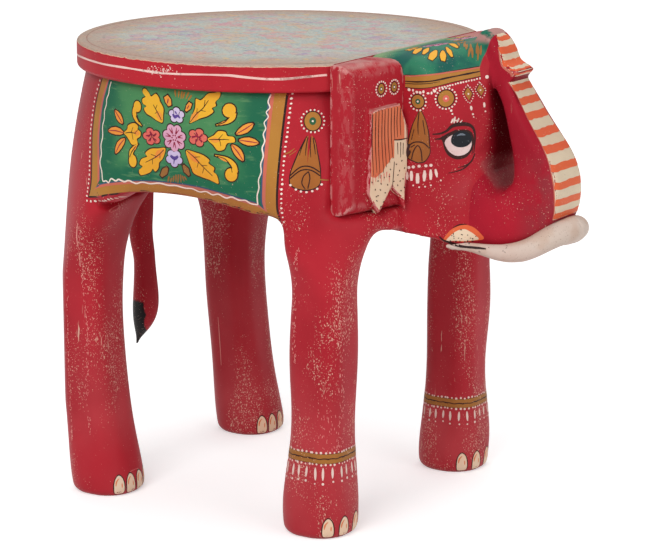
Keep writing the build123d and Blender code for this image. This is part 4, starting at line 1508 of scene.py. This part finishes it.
# %% [markdown]
# The lower lip shows as a half moon at the corner of the mouth, orange at its rim and
# cream inside, with black freckles and a black line under it.

# %% Lips
cream = paint("cream_paint", srgb(236, 214, 186), srgb(222, 190, 160), chips=0.2, bare=srgb(178, 132, 112))
orange = paint("orange_paint", srgb(226, 106, 62), srgb(212, 88, 54), chips=0.22)
lip_line = [
    (98.1, 268.3), (101.5, 274.7), (106.1, 279.5), (112, 282.7), (118.6, 283.6), (125.3, 281.5),
    (130.8, 276.7), (134, 271.7), (126.2, 269.3), (115.2, 268.1), (104.2, 268.3)
]
lip_inner = [
    (100.8, 268.1), (105.4, 274.1), (110.5, 278.1), (116.4, 279.8), (122.5, 277.4), (127.6, 273.7),
    (129.4, 270.9), (120.2, 269.1), (108.2, 268.7)
]
lay("lips", orange, 1, [(CHEEK, [blob(lip_line, 1.4)])])
lay("lip_middles", cream, 2, [(CHEEK, [blob(lip_inner, 1.4)])])
luck = random.Random(11)
freckles = []
while len(freckles) < 26:
    x, y = luck.uniform(102, 130), luck.uniform(267.3, 280.7)
    if (x - 116.2) ** 2 / 210 + (y - 265.2) ** 2 / 190 < 1:
        turn = luck.uniform(0, math.pi)
        freckles.append(stroke([(x, y), (x + 1.0 * math.cos(turn), y + 1.0 * math.sin(turn))], 0.35))
lay("lip_freckles", outline_black, 3, [(CHEEK, freckles)])
lay("lip_lines", outline_black, 3, [(CHEEK, strokes(([
    (94.4, 271.5), (98.5, 268.2), (104.7, 266.6), (115.1, 265.3), (126.9, 265.1), (135.8, 264.9)
], 0.4, 1.0, 1.0, 0.9, 0.9, 0.5), ([(106.8, 280.5), (112.2, 283.5), (118.6, 284.3)], 0.3, 0.5, 0.2)))])

# %% [markdown]
# The inner ears are orange with black pleats, and run out below into two cream points.
# The trunk's front is cream with orange bars. Both areas are patches between four lines.

# %% Ear flaps
flap_left = [(-84, 315.4), (-82.6, 332), (-82, 350), (-81.6, 368), (-81.2, 387.6)]
flap_right = [(-39, 303), (-38.6, 330), (-38.4, 350), (-38.2, 370), (-42.4, 391)]
flap_top = [(-81.2, 387.6), (-72, 389.4), (-60, 390.2), (-50, 390.8), (-42.4, 391)]
flap_foot = [
    (-84, 315.4), (-78.6, 305.6), (-73.4, 297.8), (-69.6, 291.8), (-66, 297.8), (-62, 305.6), (-56.2, 316.8),
    (-50.6, 311.6), (-45, 307), (-39, 303)
]
lay("flaps_cream", cream, 0, [(FLAP, [patch_between(flap_left, flap_right, flap_foot, flap_top, 2.0)])])
orange_left = [(-82.4, 331), (-81.9, 350), (-81.6, 368), (-81, 386.8)]
orange_right = [(-54.6, 344), (-54.4, 352), (-54.4, 358), (-54.4, 390)]
flap_orange = paint("flap_orange", srgb(226, 138, 98), srgb(208, 104, 70), chips=0.3)
lay("flaps_orange", flap_orange, 1, [(FLAP, [
    patch_between(
        orange_left, orange_right,
        [
            (-82.4, 331), (-76.8, 329), (-72, 332.2), (-68.1, 333.4), (-65, 338.4), (-60.9, 340.9),
            (-57.4, 345.4), (-54.6, 344)
        ],
        [(-81, 386.8), (-72, 388.6), (-63, 389.4), (-54.4, 390)], 2.0
    ),
    patch_between(
        [(-54.5, 360.4), (-54.4, 390)], [(-42, 360), (-42.2, 374), (-47, 390.4)],
        [(-54.5, 360.4), (-42, 360)], [(-54.4, 390), (-47, 390.4)], 2.0
    )
])])
pleats = [
    [(-80.6, 386.4), (-81.4, 359.2), (-79.5, 331.6)], [(-77, 388), (-77.6, 361.3), (-75.6, 333.6)],
    [(-73.3, 388.8), (-73.8, 359), (-71.5, 328)], [(-69.3, 389), (-69.7, 361.3), (-67.3, 332.5)],
    [(-65.8, 389.2), (-66.2, 363.7), (-63.8, 337.2)], [(-61.9, 389.2), (-62.2, 365.3), (-59.8, 340.5)],
    [(-58.1, 389.4), (-58.4, 367), (-56, 343.9)], [(-54.2, 389.4), (-54.7, 372.8), (-54, 361.3)],
    [(-50.6, 389.6), (-51.4, 376.9), (-50.6, 362.5)], [(-47.1, 388.6), (-47.5, 376.6), (-46.6, 363.8)]
]
flap_marks = [stroke(line, 0.3, 0.46, 0.38, 0.2) for line in pleats]
flap_marks += strokes(
    ([(-54.8, 360.6), (-47, 359.9), (-37.6, 360.2)], 0.5, 0.6, 0.3), ([(-50.4, 357.6), (-50, 347)], 0.4, 0.2),
    ([(-46.6, 357.6), (-46.6, 344)], 0.4, 0.2)
)
flap_marks += strokes(
    ([(-43.4, 356.6), (-43.6, 346)], 0.3, 0.2), ([(-54.2, 341), (-56.4, 318)], 0.25, 0.4, 0.2)
)
luck = random.Random(5)
specks = [
    (-81.2, 325.1), (-69.8, 322.5), (-59.7, 327.9), (-73.2, 312.7), (-74.9, 307.8), (-64.5, 314.1),
    (-52.4, 338.3), (-47.9, 331.3), (-54, 323.1), (-49.6, 318.3), (-42.6, 323.8), (-67.9, 306.1),
    (-77.5, 318), (-71, 302), (-62.2, 320.4), (-66.4, 327.6), (-74.8, 326), (-45.6, 340.2), (-42, 333),
    (-45, 313.4), (-58.4, 334), (-76.6, 311.9), (-70.6, 317.2), (-50.4, 328), (-41.4, 315.4), (-47.6, 322.2)
]
for x, y in specks:
    turn = luck.uniform(0, math.pi)
    flap_marks.append(stroke([(x, y), (x + 1.5 * math.cos(turn), y + 1.5 * math.sin(turn))], 0.45))
lay("flap_marks", outline_black, 2, [(FLAP, flap_marks)])
lay("flap_pink_strokes", rose_red, 1, [(FLAP, [
    stroke([(-80.4 + 3.4 * i, 331 + (i % 3)), (-80.2 + 3.3 * i, 323 + 2.4 * (i % 3))], 0.5, 0.15)
    for i in range(7)
])])

# %% [markdown]
# The bars get narrower with the trunk, and none is quite level: a seeded draw moves the
# points of each and changes its width. Thin rose lines close the strip at both sides.

# %% Trunk bars
strip_left = [
    (-23.4, 291), (-23.8, 297), (-24.6, 304), (-25.2, 318), (-24.8, 334), (-22.6, 350), (-20.2, 364),
    (-18.6, 378), (-17, 392), (-16.8, 401), (-17.6, 409.5)
]
STRIP_END = 411  # above it begins the curl
curl_left = [(-16.4, 414.4), (-17, 421.5), (-16.8, 430), (-15.4, 438), (-11.8, 444.6), (-6.4, 449.4)]


def mirrored(line):
    return [(-x, y) for x, y in line]


def level_line(half, z):
    """A level line of nine points across the trunk."""
    return [(half * i / 4, z) for i in range(-4, 5)]


trunk_cream = paint(
    "trunk_cream", srgb(226, 208, 180), srgb(206, 184, 158), chips=0.35, bare=srgb(170, 160, 150)
)
strip = [
    patch_between(strip_left, mirrored(strip_left), level_line(23.4, 291.0), level_line(17.6, 409.5), 2.2),
    patch_between(curl_left, mirrored(curl_left), level_line(16.4, 414.4), level_line(6.4, 449.4), 2.0),
]
lay("trunk_strip", trunk_cream, 0, [(NOSE, strip)], both=False)


def strip_half(z):
    """The painted strip's half width at this height."""
    line = strip_left if z < STRIP_END else curl_left
    for (x1, z1), (x2, z2) in zip(line, line[1:]):
        if z1 <= z <= z2:
            return abs(x1 + (x2 - x1) * (z - z1) / (z2 - z1))
    return abs(line[0][0])


luck = random.Random(3)
bars = []
for z, thick in (
    (294, 2.6), (306.4, 3.1), (321.4, 3.2), (336.8, 3.2), (352.2, 3.2), (365.8, 3.1), (380, 3.1), (392.5, 3),
    (404, 2.8), (416.6, 0.7), (420, 0.6), (425.2, 2.6), (436, 3), (445.6, 1.8)
):
    half = strip_half(z) - 0.2
    line = [
        (half * (i / 4 - 1), z + luck.uniform(-0.35, 0.35) + (0.5 if i in (0, 8) else 0)) for i in range(9)
    ]
    bars.append(stroke(line, *(thick * luck.uniform(0.93, 1.07) for _ in range(9)), columns=4))
lay("trunk_bars", orange, 1, [(NOSE, bars)], both=False)
edge_lines = [[(x - 0.3, z) for x, z in line] for line in (strip_left, curl_left[:4])]
edges = [stroke(line, 0.35) for line in edge_lines + [mirrored(line) for line in edge_lines]]
lay("trunk_strip_edges", cloth_rose, 1, [(NOSE, edges)], both=False)

# %% [markdown]
# The forehead wears a green cap with a gold hem. The hem is a pair of brush strokes along
# the brow, and the cap is a patch laid from above, with flowers in the cloth's colours.

# %% Cap
hem_top = [
    (63, 415.9), (70.1, 416.4), (76, 417.4), (84.8, 418.4), (93.6, 419), (101, 419.7), (108.4, 420.3),
    (117.2, 421.1), (124.6, 421.9), (129, 422.4)
]
hem_foot = [
    (63, 405.3), (71.7, 405.3), (79, 405.6), (85.6, 406.4), (93.7, 408.2), (101.1, 409.9), (108.5, 411.3),
    (117.2, 412.9), (124.7, 414.1), (129, 414.8)
]
hem_middle = [((a + c) / 2, (b + d) / 2) for (a, b), (c, d) in zip(hem_top, hem_foot)]
lay("cap_hem_edge", outline_black, 0, [(CHEEK, [
    stroke(hem_middle, 6.0, 6.2, 5.8, 5.2, 4.9, 4.6, columns=5)
])])
lay("cap_hem", ochre, 1, [(CHEEK, [stroke(hem_middle, 5.2, 5.5, 5.2, 4.5, 4.2, 4.0, columns=5)])])
lay("cap_hem_lines", outline_black, 2, [(CHEEK, strokes(
    (hem_middle, 0.4, 0.7, 0.5, 0.8, 0.5, 0.8, 0.4),
    ([(x, z - 1.9) for x, z in hem_middle[:5]], 0.3, 0.4, 0.15)
))])
lay("cap_hem_rose", cloth_rose, 2, [(CHEEK, [stroke([(x, z - 0.5) for x, z in hem_top], 0.6)])])

# %% [markdown]
# On the cap, seen from above, are one pink flower, two small yellow ones and their leaves.
# The paint towards the trunk has nearly gone: a row of short, faint strokes is what is left.

# %% Flowers on the cap
PINK = (118, -25)  # the middle of the pink flower
cap_spots = [(*PINK, 12, 12, 7), (106, -48, 5.4, 5.4, 5), (127.5, -1, 5.0, 4.6, 5)]
petals = [
    ((115, -45), (114.5, -57), 0.8, 3.2, 1.6), ((121, -43), (122.5, -55), 0.6, 2.4, 0.8),
    ((129, -43), (131, -57), 0.8, 3.4, 1.8), ((134, -40), (140, -50), 0.8, 3.0, 1.6),
    ((134, -34), (144, -41), 0.6, 2.2, 0.8), ((107, -38), (100, -44), 0.6, 2.0, 0.8),
    ((106, -30), (96, -33), 0.6, 2.4, 0.9), ((132, -26), (143, -29), 0.6, 2.2, 0.9)
]
cap_leaves = [stroke([a, b], *widths) for a, b, *widths in petals]
cap_blossoms = [blossom(x, y, rx, ry, count, 0.35) for x, y, rx, ry, count in cap_spots]
lay("cap_outlines", outline_black, 0, [(CROWN, cap_leaves + cap_blossoms[1:])], grow=0.7)
lay("cap_leaves", leaf_yellow, 1, [(CROWN, cap_leaves + cap_blossoms[1:])])
lay("cap_blossoms", blossom_pink, 1, [(CROWN, cap_blossoms[:1])])
cap_lines = [stroke([PINK, around(PINK, 9.6, i * math.tau / 9)], 0.25, 0.5, 0.2) for i in range(9)]
cap_lines += [oval(106, -48, 1.5, count=8), oval(127.5, -1, 1.4, count=8)]
lay("cap_lines", petal_crimson, 2, [(CROWN, cap_lines)])
luck = random.Random(8)
faded = []
for i in range(12):
    x, y = 138 + 2.0 * i, -18 + luck.uniform(-5, 5)
    faded.append(stroke([(x, y), (x + luck.uniform(2, 5), y - luck.uniform(5, 9))], 0.3, 1.1, 0.4))
lay("cap_faded_strokes", brown_leaf, 1, [(CROWN, faded)])

# %% [markdown]
# Only the front feet wear anklets: a gold band between black lines, white dots above and
# under it and long white drops. Each leg is round, so twelve charts look at it from all
# sides, and each draws its own share of the band.

# %% Anklets
FRONT_X, REAR_X, LEG_Y = 57.25, -183.25, 122  # the legs' axes, in mm
ANKLETS = [(FRONT_X, -LEG_Y, 75.6, 0), (FRONT_X, LEG_Y, 70.0, 1)]  # axis, height, seed
HALF_FACET = 9.2  # half of what one of twelve charts shows of a leg


def chart_at(turn, x, y, start):
    """A chart that looks at an upright axis from this angle."""
    return Chart((math.cos(turn), math.sin(turn), 0), (x, y, 0), start)


anklet_edge, anklet_gold, anklet_line, anklet_white = [], [], [], []
for x, y, middle, seed in ANKLETS:
    for i in range(12):
        chart = chart_at(math.tau * i / 12, x, y, 60)
        luck = random.Random(40 * seed + i)
        half = HALF_FACET
        flat = [(-half, middle), (0, middle), (half, middle)]
        anklet_edge.append((chart, [stroke(flat, 4.6, columns=4)]))
        anklet_gold.append((chart, [stroke(flat, 4.2, columns=4)]))
        anklet_line.append((chart, [stroke([
            (-half, middle - 0.3), (-4.6, middle + 0.2), (0, middle - 0.4), (4.6, middle + 0.3),
            (half, middle - 0.3)
        ], 0.55, 0.4, 0.6)]))
        white = []
        for k in range(4):
            at = (k - 1.5) * 4.2
            for edge in (5.2, -5.4):
                size = luck.uniform(0.75, 1.2)
                white.append(oval(
                    at + luck.uniform(-0.5, 0.5), middle + edge + luck.uniform(-0.5, 0.4), size, size, count=8
                ))
        for k in range(2):
            at = (k - 0.5) * 8.4 + luck.uniform(-0.8, 0.8)
            fall = luck.uniform(9.0, 11.5) if not seed else luck.uniform(7.5, 10)
            top = middle - 8.0
            white.append(stroke(
                [(at, top), (at + luck.uniform(-0.5, 0.5), top - fall)], 0.3, 0.9, 1.15, 0.9, 0.3
            ))
            white.append(oval(
                at + luck.uniform(-0.4, 0.4), top - fall - 3.2, luck.uniform(0.7, 1.3), count=8
            ))
        anklet_white.append((chart, white))
lay("anklet_edges", outline_black, 0, anklet_edge, both=False)
lay("anklet_bands", ochre, 1, anklet_gold, both=False)
lay("anklet_lines", outline_black, 2, anklet_line, both=False)
lay("anklet_dots_and_drops", dot_white, 1, anklet_white, both=False)

# %% [markdown]
# A toenail is one cream oval with a dark outline and two orange brush marks. Each foot has
# four of them, turned to the front, and each nail is drawn in a chart of its own.

# %% Toenails
nail = blob([
    (-4.4, 3.4), (-5.2, 9.5), (-3.9, 16.6), (-0.4, 20.4), (3.4, 17.2), (5, 10), (4.4, 3.6), (0, 2.6)
], 1.2)
nail_tint = strokes(
    ([(-3.6, 10.4), (-2.8, 14.8), (-0.2, 17.6)], 0.3, 0.9, 0.3), ([(2.6, 8.4), (2.6, 13)], 0.2, 0.7, 0.2)
)
nail_charts = [
    chart_at(math.radians(degrees), x, y, 60)
    for x, angles in ((FRONT_X, (-46, -18, 14, 44)), (REAR_X, (-36, -13, 12, 36)))
    for y in (-LEG_Y, LEG_Y)
    for degrees in angles
]
nail_shapes = [(chart, [nail]) for chart in nail_charts]
nail_marks = [(chart, nail_tint) for chart in nail_charts]
nail_cream = paint(
    "nail_cream", srgb(240, 216, 190), srgb(234, 196, 164), chips=0.15, bare=srgb(196, 140, 120)
)
nail_orange = paint("nail_orange", srgb(226, 140, 92), srgb(216, 118, 80), chips=0.2)
lay("nail_outlines", outline_black, 0, nail_shapes, both=False, grow=1.1)
lay("nails", nail_cream, 1, nail_shapes, both=False)
lay("nail_tints", nail_orange, 2, nail_marks, both=False)

# %% [markdown]
# A white line runs round the seat's rim, drawn by a hand that wandered and rubbed off in
# places. The rim is round too, so the line is drawn in short lengths, each in its own chart.
# One spot has lost a patch of small chips.

# %% Rim line
rim_heights = [
    (-190, 416.4), (-136, 416.9), (-119, 419.3), (-90, 419.4), (-70, 420.7), (-60, 418.5), (-55, 418.4),
    (-44, 421), (-30, 421.2)
]


def rim_z(degrees):
    """The height of the white line at this angle, in mm."""
    for (a, p), (b, q) in zip(rim_heights, rim_heights[1:]):
        if a <= degrees <= b:
            return p + (q - p) * (degrees - a) / (b - a)
    return rim_heights[-1][1]


rim_line = []
luck = random.Random(21)
for degrees in (*range(-174, -53, 12), -50.5):
    points = []
    for k in range(7):
        step = (k - 3) * 2.06
        z = rim_z(degrees + step) + 0.35 * math.sin(0.23 * (degrees + step))
        points.append((SEAT_RADIUS * math.sin(math.radians(step)), z))
    widths = [0.95, luck.uniform(0.8, 1.15), luck.uniform(0.7, 1.1), 0.95]
    rim_line.append((chart_at(math.radians(degrees), SEAT_X, 0, 220), [stroke(points, *widths, gap=1.0)]))
luck = random.Random(31)
rim_chips = [
    oval(
        luck.gauss(0, 9), 421.2 + luck.gauss(0, 2.4), luck.uniform(0.3, 0.9), luck.uniform(0.3, 0.7), count=6
    )
    for _ in range(60)
]
rim_line.append((chart_at(math.radians(-90), SEAT_X, 0, 220), rim_chips))
rim_white = paint("rim_white", srgb(240, 206, 196), srgb(226, 176, 168), chips=0.5, bare=srgb(190, 60, 66))
lay("rim_line", rim_white, 0, rim_line)

# %% [markdown]
# On the seat there are still traces of a wreath of flowers around a middle one, and of a
# ring near the rim. They are mostly worn back into the ground, so these paints dissolve
# into the seat's own colour.

# %% Worn flowers on the seat


def worn_away(pigment, keep):
    """What is left of a pigment: the more it keeps back, the more of the ground shows."""

    def colour(tree, place, base):
        left = rise(tree, noise(tree, place, 120, 5, 0.75), keep, keep + 0.12)
        return tint(tree, seat_ground(tree, place), pigment, left, 0.7)

    return colour


WREATH = (-65, 0)  # its middle, in mm
seat_spots = [(*WREATH, 24, 22, 8)]
seat_spots += [(*around(WREATH, 92, math.tau * (i + 0.5) / 8), 17, 16, 6) for i in range(8)]
seat_spots += [(*around(WREATH, 128, math.tau * i / 8), 12, 12, 5) for i in range(8)]
seat_blossoms = [blossom(x, y, rx, ry, count, 0.35) for x, y, rx, ry, count in seat_spots if x < 60]
seat_leaves = []
for i in range(24):
    turn = math.tau * i / 24
    near, far = (52, 74) if i % 3 else (34, 62)
    seat_leaves.append(stroke([around(WREATH, near, turn), around(WREATH, far, turn + 0.09)], 0.6, 4.2, 1.2))
for i in range(40):
    turn = math.tau * (i + 0.5) / 40
    if 152 * math.cos(turn) < 120:  # the seat is cut off straight behind the head
        seat_leaves.append(stroke([
            around(WREATH, 146, turn), around(WREATH, 163, turn + 0.05)
        ], 0.6, 3.4, 0.8))
seat_rose, seat_gold, seat_blue = (
    paint(name, pigment, pigment, chips=0.3, gloss=0.6, colour=worn_away(pigment, keep))
    for name, pigment, keep in (
        ("worn_rose", srgb(200, 134, 146), 0.46),
        ("worn_gold", srgb(204, 172, 124), 0.46),
        ("worn_lilac", srgb(152, 142, 170), 0.48),
    )
)
lay("seat_leaves", seat_gold, 0, [(CROWN, seat_leaves)], both=False)
lay("seat_blossoms", seat_rose, 1, [(CROWN, seat_blossoms[::2])], both=False)
seat_ring = []
for degrees in (*range(48, 313, 12), 313):
    a = math.radians(degrees - 6.2)
    seat_ring.append(stroke([around((SEAT_X, 0), 181, a + k * 0.055) for k in range(5)], 0.35, 0.5, 0.3))
ring_paint = paint("worn_ring", srgb(168, 118, 108), srgb(150, 110, 96), chips=0.6, bare=srgb(186, 160, 140))
lay("seat_ring", ring_paint, 0, [(CROWN, seat_ring)], both=False)
lay("seat_lilac_blossoms", seat_blue, 1, [(CROWN, seat_blossoms[1::2])], both=False)

# %% [markdown]
# Knocks have chipped the legs along their corners: short scratches and lines of small
# chips, which a shader alone would not put in a line.

# %% Chipped corners
luck = random.Random(77)
RIGHT_FRONT = Chart((0.5, -0.87, 0), (57, -LEG_Y, 0), 70)
RIGHT_REAR = Chart((0.2, -0.98, 0), (-183, -LEG_Y, 0), 90)


def chipped_line(points, count, spread):
    """Small chips scattered along a line, this far to either side."""
    line = smooth_line(points, gap=0.5)
    chips = []
    for _ in range(count):
        x, y = luck.choice(line)
        x, y = x + luck.gauss(0, spread), y + luck.gauss(0, 1)
        lean, reach = luck.uniform(-0.5, 0.5), luck.uniform(0.5, 2.4)
        chips.append(stroke([(x, y), (x + lean, y + reach)], 0.2, luck.uniform(0.25, 0.55), 0.15))
    return chips


front_chips = chipped_line(
    [(-19, 268), (-22, 240), (-23, 200), (-22, 160)], 90, 0.9
) + chipped_line([(16, 240), (19, 190), (20, 120), (18, 84)], 120, 1.6)
front_chips += chipped_line([(4, 140), (10, 100), (12, 82)], 60, 5)
rear_chips = chipped_line([(-6, 262), (-9, 236), (-10, 200), (-8, 150), (-9, 100), (-6, 60)], 150, 0.9)
rear_chips += chipped_line([(-26, 240), (-30, 180), (-30, 110), (-27, 50)], 110, 0.5)
rear_chips += strokes(
    ([(-8, 266), (-10.6, 254), (-11.2, 243)], 0.3, 0.7, 0.3), ([(-10.8, 236), (-11.6, 222)], 0.5, 0.3),
    ([(22, 120), (26, 70)], 0.2, 0.4, 0.15)
)
chip_pale = paint(
    "chip_pale", srgb(224, 160, 150), srgb(216, 134, 128), chips=0.2, gloss=0.6, bare=srgb(230, 200, 180)
)
lay("chipped_corners", chip_pale, 0, [(RIGHT_FRONT, front_chips), (RIGHT_REAR, rear_chips)])

# %% [markdown]
# A plain white studio. The floor is a disc that glows a little where the camera sees it, and
# more with distance, so that it runs into the white background without a horizon. The glow
# is switched off for diffuse rays, so it throws no light on the wood. A shadow catcher
# would need the compositor, and this does without it.

# %% Floor and background


def seen_by(tree, *kinds):
    """1 for rays of these kinds, 0 for all others."""
    rays = tree.nodes.new("ShaderNodeLightPath")
    seen = rays.outputs[kinds[0]]
    for kind in kinds[1:]:
        seen = calc(tree, "MAXIMUM", seen, rays.outputs[kind])
    return seen


bpy.ops.mesh.primitive_circle_add(vertices=96, radius=14, fill_type="NGON", location=(0, 0, 0))
floor = bpy.context.object
floor.name = "floor"
white, tree, shader = new_finish("white_floor")
shader.inputs["Base Color"].default_value = (0.8, 0.8, 0.8, 1)
shader.inputs["Roughness"].default_value = 0.9
shader.inputs["Emission Color"].default_value = (1, 1, 1, 1)
seen = seen_by(tree, "Is Camera Ray", "Is Glossy Ray", "Is Transmission Ray")
distance = vector_calc(tree, "LENGTH", tree.nodes.new("ShaderNodeTexCoord").outputs["Object"])
glow = plus(tree, times(tree, rise(tree, distance, 0.7, 2.0), 0.3), 0.46)
tree.links.new(times(tree, seen, glow), shader.inputs["Emission Strength"])
floor.data.materials.append(white)

world = bpy.data.worlds.new("studio")
world.use_nodes = True
tree = world.node_tree
sky = tree.nodes["Background"]
sky.inputs[0].default_value = (1, 1, 1, 1)
seen = seen_by(tree, "Is Camera Ray", "Is Transmission Ray")
tree.links.new(plus(tree, times(tree, seen, 0.56), 0.44), sky.inputs[1])
bpy.context.scene.world = world
print("floor and background:", floor.name, world.name)

# %% [markdown]
# Three large, soft lamps: the key from the right side, a weak fill from the front and a top
# light from behind. The camera has a long lens and stands well off, a little above the seat.

# %% Lamps and camera
CAMERA_PLACE, CAMERA_AIM = Vector((1.335246, -2.129344, 0.783207)), Vector((-0.015399, 0, 0.20504))
LENS, SENSOR = 151.166, 36  # mm


def lamp(name, place, aim, size, power):
    light = bpy.data.lights.new(name, "AREA")
    light.size = size
    light.energy = power
    lamp_object = bpy.data.objects.new(name, light)
    lamp_object.location = place
    lamp_object.rotation_euler = (Vector(aim) - Vector(place)).to_track_quat("-Z", "Y").to_euler()
    bpy.context.scene.collection.objects.link(lamp_object)


lamp("key", (0.2, -1.8, 1.7), (0, 0, 0.25), 1.2, 26)
lamp("fill", (1.8, -0.4, 0.9), (0, 0, 0.25), 1.2, 9)
lamp("top", (-0.3, 0.6, 2.0), (0, 0, 0.3), 1.4, 12)

camera_data = bpy.data.cameras.new("camera")
camera_data.lens = LENS
camera_data.sensor_width = SENSOR
camera = bpy.data.objects.new("camera", camera_data)
camera.location = CAMERA_PLACE
camera.rotation_euler = (CAMERA_AIM - CAMERA_PLACE).to_track_quat("-Z", "Y").to_euler()
bpy.context.scene.collection.objects.link(camera)
bpy.context.scene.camera = camera
bpy.context.scene.view_settings.view_transform = "Standard"
print("lamps:", len(bpy.data.lights), "lens:", LENS, "mm")

# %% [markdown]
# The whole soft body was only a blank to cut the pieces from, so it goes.

# %% Remove the blank
remove(body)
